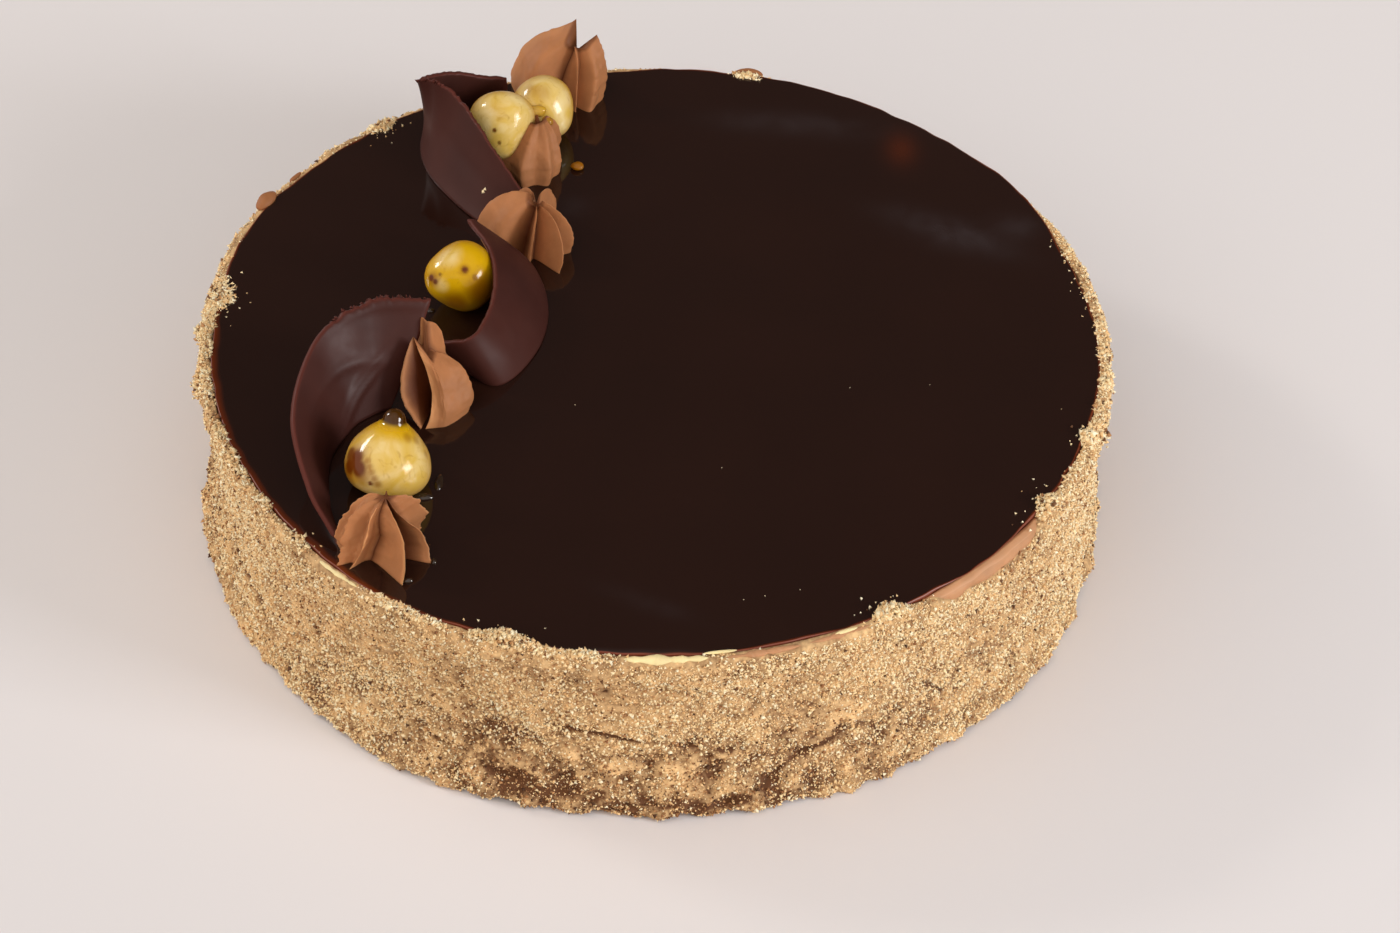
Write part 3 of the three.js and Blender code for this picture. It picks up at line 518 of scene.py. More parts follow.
# Each bead and smear: where it starts and ends in degrees, distance from the middle, size.
PALE_BEADS = [(226.5, 234, 101.1, 0.8), (268, 278, 101.2, 1.6)]
PALE_FLAKES = [(100.0, 279.5, 44.0, (0.45, 3.7, 0.3)), (101.3, 294.8, 44.3, (0.4, 2.6, 0.3))]
SMEARS = [(280, 289, 101.5, 1.1), (290, 298, 101.4, 1.1)]


def cream_finish(name, shaded, lit, edge):
    """Butter cream: soft colour that lets a little light in, with painted shade in the creases and a painted highlight
    on thin edges, both read from the crest value, with fine pores and a satin skin."""
    material, tree, shader = new_finish(name)
    darker = add(tree, "ShaderNodeHueSaturation", {"Value": 0.84, "Color": linear(*lit)}).outputs[0]
    face = blend(tree, spread(tree, noise(tree, 190.0, 3.0), 0.35, 0.65), darker, linear(*lit))
    crest = mark(tree, "crest")
    # Painted shade where the crest value is low, painted highlight where it is near 1.
    face = blend(tree, spread(tree, crest, 0.0, 0.5), linear(*shaded), face)
    face = blend(tree, spread(tree, crest, 0.92, 1.0), face, linear(*edge))
    place = add(tree, "ShaderNodeTexCoord").outputs["Object"]
    pores = add(tree, "ShaderNodeTexVoronoi", {"Vector": place, "Scale": 620.0}).outputs["Distance"]
    height = calc(tree, "ADD", noise(tree, 900.0), spread(tree, pores, 0.12, 0.2))
    bump = add(tree, "ShaderNodeBump", {"Strength": 0.12, "Distance": 0.0003, "Height": height})
    feed(tree, shader, {
        "Base Color": face, "Normal": bump.outputs[0], "Roughness": 0.55, "Specular IOR Level": 0.08,
        "Subsurface Weight": 0.1, "Subsurface Radius": (0.0016, 0.0008, 0.0005), "Subsurface Scale": 1.0,
    })
    return material


def lump(place, half, seed):
    """Small rounded lump: a ball stretched to three half sizes, outward, sideways and up, and made uneven."""
    u, v = grid(24, 14)
    ball = spun(np.sin(np.pi * v), 2 * np.pi * u, np.cos(np.pi * v))
    points = np.array(place) + ball * half * (1 + 0.16 * np.sin(np.pi * v) * lattice(u, v, 5, 4, seed))[..., None]
    return closed_skin(points[:, 1:-1], points[:1, 0], points[:1, -1])


def rim_lumps(lumps, seed):
    """Lumps on the rim: each is made at 0 degrees and turned about the cake's axis to its place."""
    skins = []
    for number, (radius, degrees, height, half) in enumerate(lumps):
        points, *faces = lump((radius, 0, height), half, seed + number)
        c, s = np.cos(np.radians(degrees)), np.sin(np.radians(degrees))
        skins.append((points @ np.array([(c, s, 0), (-s, c, 0), (0, 0, 1)]), *faces))
    return skins


def squeezed_bead(start, end, radius, size, seed):
    """Bead of cream round an arc of the rim: an oval that swells and shrinks along it and tapers at its ends."""
    t = np.linspace(0, 1, 90)
    fat = 0.6 + 0.25 * lattice(t, 0 * t, 9, 1, seed) + 0.1 * lattice(t, 0 * t, 30, 1, seed + 1)
    fat = fat * np.sin(np.pi * t) ** 0.5
    turn, around = np.radians(start + (end - start) * t), np.arange(14)[:, None] / 14 * 2 * np.pi
    out = radius - FLAT_INSET * flat_side(np.degrees(turn)) + size * fat * np.cos(around)
    height = GLAZE_TOP + 0.7 * size * fat * np.sin(around)
    points = spun(out, turn, height)
    return closed_skin(points[:, 1:-1], points[:1, 0], points[:1, -1])


def squeezed_beads(arcs, seed):
    """A bead on each of the arcs."""
    return [squeezed_bead(*arc, seed + 2 * number) for number, arc in enumerate(arcs)]


def joined(skins):
    """Several closed skins as one."""
    starts = np.cumsum([0] + [len(skin[0]) for skin in skins[:-1]])
    quads = [skin[1] + start for skin, start in zip(skins, starts)]
    triangles = [skin[2] + start for skin, start in zip(skins, starts)]
    return np.vstack([skin[0] for skin in skins]), np.vstack(quads), np.vstack(triangles)


# Each cream: painted shade colour, lit colour, painted edge highlight colour.
mocha_cream = cream_finish("mocha cream", (78, 34, 13), (174, 114, 72), (206, 144, 94))
rim_cream = cream_finish("rim cream", (116, 58, 28), (190, 138, 98), (208, 160, 120))
pale_cream = cream_finish("pale cream", (206, 166, 100), (244, 220, 162), (250, 232, 186))
# A disc under the glaze, whose edge comes out to the strip's line, with wrinkles, where the rim is bare.
around, along = grid(*CREAM_STEPS)
bare = stretch(around * 360, *BARE_ARC, BARE_SOFT)
wrinkles = 0.25 * lattice(around, along, 130, 4, 21) + 0.12 * lattice(around, along, 360, 7, 22)
strip_radius, strip_height = np.interp(along, *STRIP_LINE[:2]), np.interp(along, *STRIP_LINE[::2])
radius = GLAZE_RADIUS - 0.4 - FLAT_INSET * flat_side(around * 360)
radius = radius + bare * (strip_radius + wrinkles - radius)
height = CREAM_BOTTOM + (CREAM_TOP - CREAM_BOTTOM) * along
height = height + bare * (strip_height - height)
skin = closed_skin(spun(radius, 2 * np.pi * around, height), [(0, 0, CREAM_BOTTOM)], [(0, 0, CREAM_TOP)])
# The strip's crest: lit colour with streaks of edge highlight, and the shade colour along its top by the glaze.
streaks = 0.12 * lattice(around, along, 40, 12, 23)
crest = np.append((0.86 + streaks - 0.8 * step(along, 0.84, 0.93)).ravel(), (0.1, 0.1))
piece("cream", skin, rim_cream, {"crest": crest}, "cream_layer")
# One crest value per piece: the mocha lumps take a fifth of the painted shade colour, smears and beads none.
for name, skins, finish, crest in (
    ("cream_lumps", rim_lumps(LUMPS, 23), mocha_cream, 0.4),
    ("cream_smears", squeezed_beads(SMEARS, 27), rim_cream, 0.7),
    ("pale_cream_bead", squeezed_beads(PALE_BEADS, 33) + rim_lumps(PALE_FLAKES, 37), pale_cream, 0.8),
):
    skin = joined(skins)
    piece(name, skin, finish, {"crest": np.full(len(skin[0]), crest)})

# Glaze: dark chocolate mirror glaze poured warm over the cream, so it lies nearly level with slow waves, rounds off
# at its edge, and lets a reddish light through where it thins at the rim.
GLAZE_BOTTOM = 42.4
GLAZE_STEPS = (540, 70)
LIP_SHARE, LIP_REACH = 0.16, 0.3
RUN_OVER_REACH, SPARSE_REACH = 1.8, 0.6
THIN_ARC, THIN_SOFT = (172, 240), 12
RED_SPOT, RED_WIDTH, RED_LENGTH = (57.5, 71), 3.5, 6
# Each patch of painted reflection: place, half length, half width, turn in degrees, strength.
REFLECTION_PATCHES = [
    (68, 40, 13, 4.5, -26, 0.9), (83, 43, 5, 4, 0, 0.6), (32, 80, 18, 4, -5, 0.5), (2, -85, 10, 2.2, -25, 0.25),
    (-19, 47, 3, 3, 0, 0.5),
]
# Half an oval round the lip, then level rings to the middle, raised by slow waves that cross. It is thin on the lip and
# just inside it, and at one red spot; painted reflections lie in turned oval patches.
around, along = grid(*GLAZE_STEPS)
degrees, angle = around * 360, 2 * np.pi * around
edge = GLAZE_RADIUS - FLAT_INSET * flat_side(degrees) + 0.4 * lattice(around, 0 * along, 40, 1, 31)
edge = edge + 0.25 * lattice(around, 0 * along, 160, 1, 32)
edge = edge + RUN_OVER_REACH * stretch(degrees, *RUN_OVER_ARC, RUN_OVER_SOFT)
edge = edge + SPARSE_REACH * stretch(degrees, *SPARSE_ARC, SPARSE_SOFT)
on_lip = along < LIP_SHARE
roll = np.clip(along / LIP_SHARE, 0, 1) * np.pi
lip = 0.5 * (GLAZE_TOP - GLAZE_BOTTOM)
inside = 1 - np.clip((along - LIP_SHARE) / (1 - LIP_SHARE), 0, 1) ** 2
radius = np.where(on_lip, edge - LIP_REACH + LIP_REACH * np.sin(roll), (edge - LIP_REACH) * inside)
height = np.where(on_lip, GLAZE_BOTTOM + lip - lip * np.cos(roll), GLAZE_TOP)
x, y = radius * np.cos(angle), radius * np.sin(angle)
waves = 0.16 * np.sin(x / 15 + 1.2 + 0.6 * np.sin(y / 21)) * np.sin(y / 19 + 0.5 + 0.8 * np.sin(x / 27))
waves = waves + 0.05 * np.sin(x / 6.5 - y / 9 + 2) * np.sin(y / 7.5 + 1)
height = height + waves * step(along, 0.12, 0.3)
rings = np.stack([x, y, height], -1)
seen = 0.3 + 0.25 * np.clip(lattice(around, 0 * along, 90, 1, 33), -0.5, 1)
seen = seen + 1.3 * stretch(degrees, *THIN_ARC, THIN_SOFT)
thin = np.where(on_lip, 1, 0.75 * np.clip(1 - (edge - LIP_REACH - radius) / seen, 0, 1))
thin = thin + 0.22 * np.exp(-(((x - RED_SPOT[0]) / RED_WIDTH) ** 2 + ((y - RED_SPOT[1]) / RED_LENGTH) ** 2))
painted_reflection = 0 * x
for middle_x, middle_y, long, wide, turn, strength in REFLECTION_PATCHES:
    c, s = np.cos(np.radians(turn)), np.sin(np.radians(turn))
    off_x, off_y = c * (x - middle_x) + s * (y - middle_y), c * (y - middle_y) - s * (x - middle_x)
    painted_reflection = painted_reflection + strength * np.exp(-((off_x / long) ** 2) - (off_y / wide) ** 2)
skin = closed_skin(rings[:, :-1], [(0, 0, GLAZE_BOTTOM)], [(0, 0, GLAZE_TOP + waves[0, -1])])
marks = {"thin": np.append(thin[:, :-1].ravel(), (0, 0)), "painted_reflection": np.append(painted_reflection[:, :-1].ravel(), (0, 0))}

mirror_glaze, tree, shader = new_finish("mirror glaze")
deep = blend(tree, noise(tree, 30.0, 3.0), linear(33, 16, 10), linear(40, 20, 13))
# Painted reflection: soft grey clouds in the patches, blended into the glaze's colour.
reflection_clouds = spread(tree, noise(tree, 90.0, 4.0, 1.0), 0.3, 0.6, 0.4, 1.1)
reflected_colour = blend(tree, calc(tree, "MULTIPLY", mark(tree, "painted_reflection"), reflection_clouds), deep, linear(54, 43, 42))
dust = spread(tree, noise(tree, 70.0, 5.0), 0.35, 0.75, 0.05, 0.1)
feed(tree, shader, {
    "Base Color": blend(tree, mark(tree, "thin"), reflected_colour, linear(118, 46, 8)), "IOR": 1.46,
    "Roughness": calc(tree, "MAXIMUM", dust, spread(tree, mark(tree, "thin"), 0.8, 0.98, 0.0, 0.5)),
})
piece("mirror_glaze", skin, mirror_glaze, marks, "glaze")

# Cream stars: mocha butter cream piped through a star nozzle, five of them in a bent row on the left of the glaze.
# Each is a ring of thin fins round a sunken crown, leaning the way the nozzle was pulled off and torn at the edges.
# Each fin: share and pull of the groove before it, sharpness, tear, and the line of its edge from the star's middle.
STARS = {
    "rosette_1": dict(at=(-25, 90), crown=(5, 2.6, 11.5), lumps=1.0, fins=[
        (0.4, 0.5, 0.6, 0.012, [
            (-10.8, 4.6, 0), (-10.9, 3.8, 3), (-10.2, 3.6, 6), (-8.4, 4.4, 10), (-5.2, 5.4, 13), (-1.6, 5.4, 15),
            (2.4, 5.2, 16.8), (4.8, 5, 18.6),
        ]),
        (1.06, 0.5, 0, 0, [(-6.5, -7.5, 0), (-6.3, -6.5, 4), (-4.8, -4.2, 9), (-1.8, -1.6, 12.5), (2.8, 1, 14.6)]),
        (0.4, 0.4, 0.3, 0.01, [(5, -7.2, 0), (5.3, -5.8, 5), (5.4, -4.1, 8.5), (5.2, -2.1, 12), (4.5, 0.2, 14.2)]),
        (0.62, 0.5, 0, 0.01, [(8.2, -7, 0), (9, -5.9, 4), (9.3, -4.5, 8), (8.7, -3, 11.5), (7.2, -0.6, 14.5)]),
        (1.02, 0.5, 0.4, 0.015, [
            (11.2, -1, 0), (12, -0.2, 3), (12.2, 0.1, 6.5), (12, 0.3, 10), (11, 0.8, 14), (9.9, 1.4, 17),
        ]),
        (0.4, 0.5, 0.5, 0.01, [(7.5, 8.5, 0), (7.9, 8, 3), (7.5, 6.6, 6), (6.8, 4.8, 9), (5.9, 3.4, 11)]),
        (0.4, 0.5, 0.5, 0.01, [(-1, 9.5, 0), (-0.6, 9, 3), (0.8, 7.6, 6), (2.8, 5.4, 9), (4.5, 3.6, 11.2)]),
    ]),
    "rosette_2": dict(at=(-30, 63), crown=(2.2, 0.8, 10.2), lumps=1.0, fins=[
        (0.45, 0.5, 0.2, 0.01, [
            (-7.2, -3.6, 0), (-7.8, -3.4, 3.3), (-6.2, -2, 6.6), (-3.2, -0.4, 9.6), (0, 0.8, 11.6),
        ]),
        (0.94, 0.5, 0.1, 0.01, [
            (-1.4, -9.4, 0), (-1.8, -9.2, 3.6), (-1, -7.3, 7.2), (0.2, -4.6, 10.4), (1.4, -1.2, 12.4),
        ]),
        (0.92, 0.5, 0.1, 0.012, [(4.6, -8.6, 0), (5.2, -8.3, 3), (4.9, -6.7, 6.6), (4.2, -4, 10.2), (3.1, -0.6, 12.8)]),
        (0.94, 0.5, 0.1, 0.015, [
            (6.9, -3.4, 0), (7.6, -3.1, 3.8), (7.2, -2.4, 7.2), (5.9, -1.2, 10.6), (3.9, 0.4, 12.8),
        ]),
        (0.5, 0.5, 0.3, 0.01, [(5.8, 3.3, 0), (7.2, 3.9, 3.8), (6.8, 3.4, 7.5), (5.8, 2.8, 10.6), (3.9, 2.2, 12.5)]),
        (0.45, 0.5, 0.3, 0.01, [(-3, 6, 0), (-2.6, 6.4, 3.6), (-1.2, 6, 7.2), (0.4, 5, 10.2), (1.8, 3, 12)]),
    ]),
    "rosette_3": dict(at=(-28.8, 30.8), crown=(1.7, 2.3, 10.3), lumps=1.0, fins=[
        (0.4, 0.5, 0.3, 0.012, [
            (-10.9, 4.3, 0), (-11.9, 3.6, 4), (-10.7, 3.4, 8), (-8.5, 3.6, 11), (-5, 4.6, 13), (-1.9, 4.7, 13.5),
            (0.5, 3.8, 13.2),
        ]),
        (1.06, 0.5, 0, 0, [(-7.5, -4.8, 0), (-7.4, -4.2, 4), (-5.9, -2.8, 7.5), (-3.6, -0.9, 10.5), (0, 1.8, 12.8)]),
        (0.28, 0.5, 0.6, 0.008, [
            (0.3, -8.6, 0), (0.6, -7.9, 3.5), (1.2, -6.1, 6.5), (1.7, -4.2, 9.5), (2.1, -2.3, 11.5), (2, 0.4, 12.8),
        ]),
        (0.3, 0.6, 0.45, 0.01, [
            (7.4, -8.7, 0), (8.3, -7.6, 4), (7.9, -5.4, 7), (6.8, -2.9, 9.5), (5, -1, 11.5), (2.6, 0.8, 12.6),
        ]),
        (0.6, 0.5, 0.3, 0.01, [
            (9.6, -0.6, 0), (10.4, -1.6, 4), (9.8, -0.9, 7.5), (8.1, -0.5, 10.5), (5.7, 0.3, 12.5), (3.2, 1.6, 13.2),
        ]),
        (0.4, 0.5, 0.3, 0.015, [(5.4, 10.8, 0), (5.9, 11, 5), (4.9, 9.6, 10), (3.6, 6.7, 12.5), (2.5, 3.7, 13.4)]),
        (0.4, 0.5, 0.3, 0.01, [(-3.6, 10.6, 0), (-3.6, 10.4, 5), (-2.6, 9, 10), (-0.6, 6.8, 12.8), (1, 4.2, 13.4)]),
    ]),
    "rosette_4": dict(at=(-46.7, -23), crown=(-1.8, 2.6, 11), lumps=1.8, fins=[
        (0.45, 0.5, 1, 0.006, [
            (-2.6, -8.9, 0), (-4.4, -8, 2.4), (-6.4, -6.4, 5), (-7.3, -3.6, 8.2), (-6.7, -0.4, 12.4),
            (-5.6, 2.2, 14.8), (-4.7, 3.4, 16.1),
        ]),
        (0.1, 0.5, 1, 0.006, [
            (-1.8, -8.9, 0), (-0.7, -7.5, 2.6), (-0.4, -4.5, 6.1), (-1, -2.8, 8.6), (-2, -0.8, 11.1), (-3.6, 1.6, 14),
            (-4.6, 3.3, 16.1),
        ]),
        (1, 0.4, 0, 0, [(2.8, -7.9, 0), (3, -7, 3.5), (2.5, -5, 7), (1.5, -2.9, 10), (-0.6, 0.4, 12)]),
        (1.08, 0.5, 0, 0.01, [
            (7.2, -2.2, 0), (8.2, -0.9, 4), (7.3, 0.8, 7.5), (5, 1.8, 10.5), (1.9, 2.1, 12.4), (-0.4, 2.2, 12.7),
        ]),
        (0.5, 0.5, 0.2, 0.02, [
            (2.2, 6.4, 0), (2.5, 6.4, 5), (2.5, 5.6, 9), (2.2, 4.4, 12.4), (1.8, 4.6, 14.6), (0.8, 5.7, 16.6),
            (-0.8, 6.4, 17.4), (-1.8, 5.6, 16.8),
        ]),
        (1.02, 0.5, 0, 0.012, [
            (-4.5, 7, 0), (-4.7, 7.8, 5), (-4.6, 8.6, 10), (-4.2, 8.8, 14.5), (-3.4, 8.2, 17.2), (-2.4, 6.6, 17.4),
        ]),
    ]),
    "rosette_5": dict(at=(-54.6, -69.8), crown=(0.6, 2.2, 12.9), lumps=4.5, fins=[
        (0.45, 0.5, 0.5, 0.035, [
            (-9.8, 1.2, 0), (-10.7, 0.3, 4.5), (-8.6, 0.9, 8), (-6.6, 1.6, 10.5), (-4.3, 2.5, 12.5), (-2.4, 3, 13.5),
            (-0.6, 2.6, 13.2),
        ]),
        (0.84, 0.45, 0.3, 0.03, [
            (-9.6, -5.4, 0), (-8.5, -3.7, 4), (-7.1, -2.1, 8), (-4.8, -0.6, 11.5), (-1.2, 1.6, 13),
        ]),
        (0.7, 0.6, 1, 0.012, [
            (-7, -6.6, 0), (-4.8, -5.3, 3), (-3.4, -4.7, 6), (-3.1, -3.8, 8.7), (-2.5, -2.7, 11), (-1.4, -1.2, 12.3),
            (0, 0.7, 12.9),
        ]),
        (0.42, 0.85, 0.9, 0.012, [
            (4.5, -11, 0), (5, -9.6, 3), (5.2, -8.6, 6), (4.8, -6.8, 8.7), (3.6, -4.6, 11), (2.4, -2.7, 12.3),
            (1.1, 0.2, 12.7),
        ]),
        (0.2, 0.8, 0.9, 0.02, [
            (10.7, -4.3, 0), (9.7, -2.4, 2), (8.9, -1.7, 4), (7.6, -1.3, 6.7), (5.5, -1.4, 9), (3.4, -1.3, 11.5),
            (1.7, 0.7, 12.4),
        ]),
        (0.45, 0.5, 0.8, 0.06, [
            (6.8, 6.3, 0), (8.4, 6.3, 4), (8, 5.7, 6.5), (7.4, 5.1, 9.5), (5.2, 4.1, 12), (2.5, 2.8, 12.9),
        ]),
        (0.45, 0.5, 0.5, 0.01, [(-1, 8, 0), (-0.6, 7.6, 4), (0, 6.8, 8), (0.4, 5.6, 11), (0.6, 4, 13)]),
    ]),
}


STAR_ROWS, ARC_STEPS = 56, 16
SUNK = 0.1


def through(knots, t):
    """Smooth curve through the knots, evenly paced: cubic pieces whose slope at a knot follows its two neighbours."""
    p = np.array(knots, float)
    p = np.vstack([2 * p[0] - p[1], p, 2 * p[-1] - p[-2]])
    s = np.clip(t * (len(knots) - 1), 0, len(knots) - 1 - 1e-9)
    k = s.astype(int)
    w = (s - k)[:, None]
    a, b, c, d = p[k], p[k + 1], p[k + 2], p[k + 3]
    bend = (2 * a - 5 * b + 4 * c - d) * w + (3 * b - a - 3 * c + d) * w * w
    return b + 0.5 * w * ((c - a) + bend)


def even_line(knots, count):
    """The smooth curve through the knots, cut into steps of equal length."""
    line = through(knots, np.linspace(0, 1, 400))
    length = np.insert(np.cumsum(np.linalg.norm(np.diff(line, axis=0), axis=1)), 0, 0)
    at = np.linspace(0, length[-1], count)
    return np.stack([np.interp(at, length, line[:, n]) for n in range(line.shape[1])], 1)


def cream_star(at, crown, lumps, fins, seed):
    """Piped star: each fin's edge is a line from the foot to the crown. The groove before it lies between this edge and
    the one before, nearer one or the other by its pull, and is drawn towards the axis to its share; it is shallower at
    the foot. Cubic arcs join groove to edge, running on smoothly over a round edge and meeting at a sharp one. Edges
    are torn by a part of their distance from the axis, and faces are lumpy. Gives the skin, and a crest value for
    painted shade and highlight: low in the grooves, lower and wider in deep ones and at the crown's top, near 1 on
    sharp edges."""
    rows, per = STAR_ROWS, ARC_STEPS
    place = np.array([*at, GLAZE_TOP - SUNK])
    share, pull, sharp, tear = np.array([fin[:4] for fin in fins]).T[..., None, None]
    edges = np.array([even_line(fin[4], rows) for fin in fins])
    axis = np.linspace((0, 0, 0), crown, rows)
    along = np.linspace(0, 1, rows)
    u, v = np.meshgrid(np.arange(len(fins)) / len(fins), along, indexing="ij")
    torn = lattice(u, v, len(fins), 9, seed) + lattice(u, v, len(fins), 24, seed + 1)
    edges = edges + (edges - axis) * tear * torn[..., None]
    drawn = share + 0.12 * np.clip(1 - share, 0, 1) * np.clip(1 - along / 0.3, 0, 1)[:, None] ** 2
    grooves = axis + drawn * (pull * np.roll(edges, 1, 0) + (1 - pull) * edges - axis)
    guides = np.stack([grooves, edges], 1).reshape(-1, rows, 3)
    straight = np.stack([np.full_like(sharp, 0.25), sharp], 1).reshape(-1, 1, 1)
    before, after = guides - np.roll(guides, 1, 0), np.roll(guides, -1, 0) - guides
    leave = (straight * after + (1 - straight) * (before + after) / 2)[:, None]
    arrive = np.roll(straight * before + (1 - straight) * (before + after) / 2, -1, 0)[:, None]
    s = (np.arange(per) / per)[None, :, None, None]
    rings = guides[:, None] + s * s * (3 - 2 * s) * after[:, None] + s * (1 - s) * ((1 - s) * leave - s * arrive)
    rings = rings.reshape(-1, rows, 3)
    u, v = np.meshgrid(np.arange(len(rings)) / len(rings), along, indexing="ij")
    uneven = 0.2 * lattice(u, v, 3 * len(fins), 5, seed + 2) + 0.06 * lattice(u, v, 9 * len(fins), 16, seed + 3)
    outward = rings - axis
    outward = outward / (np.linalg.norm(outward, axis=2)[..., None] + 1e-9)
    rings = rings + outward * (lumps * uneven * np.sin(np.pi * v) ** 0.5)[..., None]
    rings[..., 2] = np.maximum(rings[..., 2], 0)
    # Painted shade in the grooves and at the crown, painted highlight on sharp edges.
    painted_groove_and_edge = np.stack([0.9 * step(share.ravel(), 0.35, 1.0), 0.88 + 0.12 * sharp.ravel()], 1).ravel()[:, None]
    groove_shade_power = np.repeat(0.6 + 9.4 * np.clip(1 - share.ravel() / 0.3, 0, 1), 2)[:, None]
    s = s.ravel()
    rising = np.stack([s ** groove_shade_power[::2], 1 - (1 - s) ** np.roll(groove_shade_power, -2, 0)[1::2]], 1).reshape(-1, per)
    crest = painted_groove_and_edge + (np.roll(painted_groove_and_edge, -1, 0) - painted_groove_and_edge) * rising
    crest = crest.ravel()[:, None] * (1 - 0.8 * step(along, 0.88, 1.0))
    return closed_skin(rings + place, [place], [place + crown]), np.append(crest.ravel(), (0.2, 0.1))


for number, (node, shape) in enumerate(STARS.items()):
    skin, crest = cream_star(**shape, seed=40 + 6 * number)
    piece("star_" + node[-1], skin, mocha_cream, {"crest": crest}, node)

# Hazelnuts: roasted and skinned kernels dipped in clear caramel, which set to a glossy skin and, on the foremost nut,
# to a clear bead where it ran off. The kernels are golden, with brown roast marks, and two of them stuck together.
NUTS = {
    "nut_1": dict(at=(-36.6, 66.6), lift=10.0, tilt=118, heading=274, line=[
        (10.0, 0), (9.7, 1.6), (8.7, 3.1), (6.8, 4.8), (4.4, 6.4), (1.9, 7.5), (-0.7, 7.8), (-3.0, 7.0), (-4.7, 5.3),
        (-5.6, 3), (-5.8, 0),
    ]),
    "nut_2": dict(at=(-27.6, 75.2), lift=7.6, tilt=112, heading=312, line=[
        (8.6, 0), (8.4, 1.4), (7.4, 3.2), (5.4, 5.2), (2.7, 6.9), (-0.2, 7.5), (-3.2, 6.7), (-5.4, 4.8), (-6.5, 2.4),
        (-6.7, 0),
    ]),
    "nut_3": dict(at=(-42.6, 11.4), lift=7.7, tilt=82, heading=200, line=[
        (8.7, 0), (8.4, 2.0), (7.3, 3.9), (5.2, 5.7), (2.6, 7.2), (-0.2, 7.9), (-3.0, 7.4), (-5.4, 5.6), (-6.6, 3),
        (-6.9, 0),
    ]),
    "nut_4": dict(at=(-55.2, -50.3), lift=5.5, tilt=22, heading=67, line=[
        (10.3, 0), (10.25, 1.5), (10.1, 2.6), (9.8, 3.3), (9.45, 3.8), (9.0, 4.4), (8.2, 5.3), (6.9, 6.5), (5, 7.95),
        (3.1, 8.8), (0.3, 9.3), (-2.0, 8.9), (-3.8, 7.6), (-4.7, 5.5), (-5.0, 3), (-5.1, 0),
    ]),
}
NUT_STEPS = (112, 80)
BEAD_LINE = [
    (13.4, 0), (13.15, 1.1), (12.5, 1.9), (11.7, 2.3), (10.9, 2.55), (10.3, 2.9), (9.7, 3.6), (9.6, 3.0), (9.5, 0),
]
# Each mark and zone: turn and lift in degrees as seen from the nut's middle, width in degrees, strength.
ROAST_MARKS = {
    "nut_1": [(-100, 17, 4.5, 0.95), (-91, -2, 3.5, 0.8), (60, 20, 14, 0.8)],
    "nut_2": [(-92, 37, 4, 0.45), (30, 10, 12, 0.5)],
    "nut_3": [
        (-80, 50, 6, 1), (-147, 20, 6, 1), (-137, 19, 5, 0.95), (-134, 33, 3.5, 0.7), (-61, 35, 6, 0.5),
        (50, 10, 14, 0.9),
    ],
    "nut_4": [
        (-134, 31, 14, 1), (-147, 40, 13, 1), (-152, 24, 13, 1), (-165, 34, 12, 0.9), (-109, 18, 4, 1),
        (80, 10, 16, 0.9),
    ],
}
# Amber zones: partly the caramel's own deeper amber, partly painted shade on the nuts' darker sides.
AMBER_AND_SHADE_ZONES = {
    "nut_1": [(-104, 51, 25, 0.15), (110, -10, 55, 0.4)],
    "nut_2": [(-140, 61, 20, 0.4), (-110, 64, 20, 0.4), (-87, 61, 22, 0.35), (-77, 12, 8, 0.5), (90, 0, 60, 0.4)],
    "nut_3": [(-50, 5, 46, 0.9), (-98, -15, 36, 0.85), (-143, 20, 16, 0.75), (-80, 50, 12, 0.7), (100, 20, 50, 0.7)],
    "nut_4": [
        (-127, 26, 24, 0.75), (-153, 16, 26, 0.95), (-150, 40, 24, 0.8), (-123, 45, 8, 0.7), (-116, 39, 8, 0.7),
        (-110, 33, 8, 0.7), (-104, 26, 8, 0.7), (-99, 19, 8, 0.7), (6, 49, 8, 0.45), (-1, 26, 8, 0.4), (-2, 62, 9, 0.5),
        (100, 15, 55, 0.5),
    ],
}
PALE_ZONES = {
    "nut_1": [(-70, 30, 30, 0.7)], "nut_2": [(-55, 25, 24, 0.8)],
    "nut_3": [(-155, 65, 28, 0.8), (-126, 17, 16, 0.5)], "nut_4": [],
}
# Caramel on each nut: how thick all over, and how thick at the tip.
CARAMEL = {"nut_1": (0.15, 0.1), "nut_2": (0.2, 0.1), "nut_3": (1.0, 0.0), "nut_4": (0.3, 1.0)}


def turned_drop(at, lift, tilt, heading, line, seed):
    """Drop turned round its axis from a line of (way along the axis, radius), slightly lumpy, then leaned by tilt
    towards heading. Gives the skin, and each point's way along the axis."""
    columns, rows = NUT_STEPS
    way, radius = even_line(line, rows).T
    u, v = grid(columns, rows)
    uneven = 0.022 * lattice(u, v, 4, 4, seed) + 0.008 * lattice(u, v, 9, 8, seed + 1)
    r = np.maximum(radius, 0) * (1 + uneven * np.sin(np.pi * v))
    lean, turn = np.radians(tilt), np.radians(heading)
    axis = spun(np.sin(lean), turn, np.cos(lean))
    sideways = np.array([-np.sin(turn), np.cos(turn), 0.0])
    leaned = np.array([np.cross(sideways, axis), sideways, axis])
    points = spun(r, 2 * np.pi * u, way + 0 * r) @ leaned + (*at, GLAZE_TOP + lift)
    points[..., 2] = np.maximum(points[..., 2], GLAZE_TOP - SUNK)
    ways = np.append(np.tile(way[1:-1], columns), (way[0], way[-1]))
    return closed_skin(points[:, 1:-1], points[:1, 0], points[:1, -1]), ways


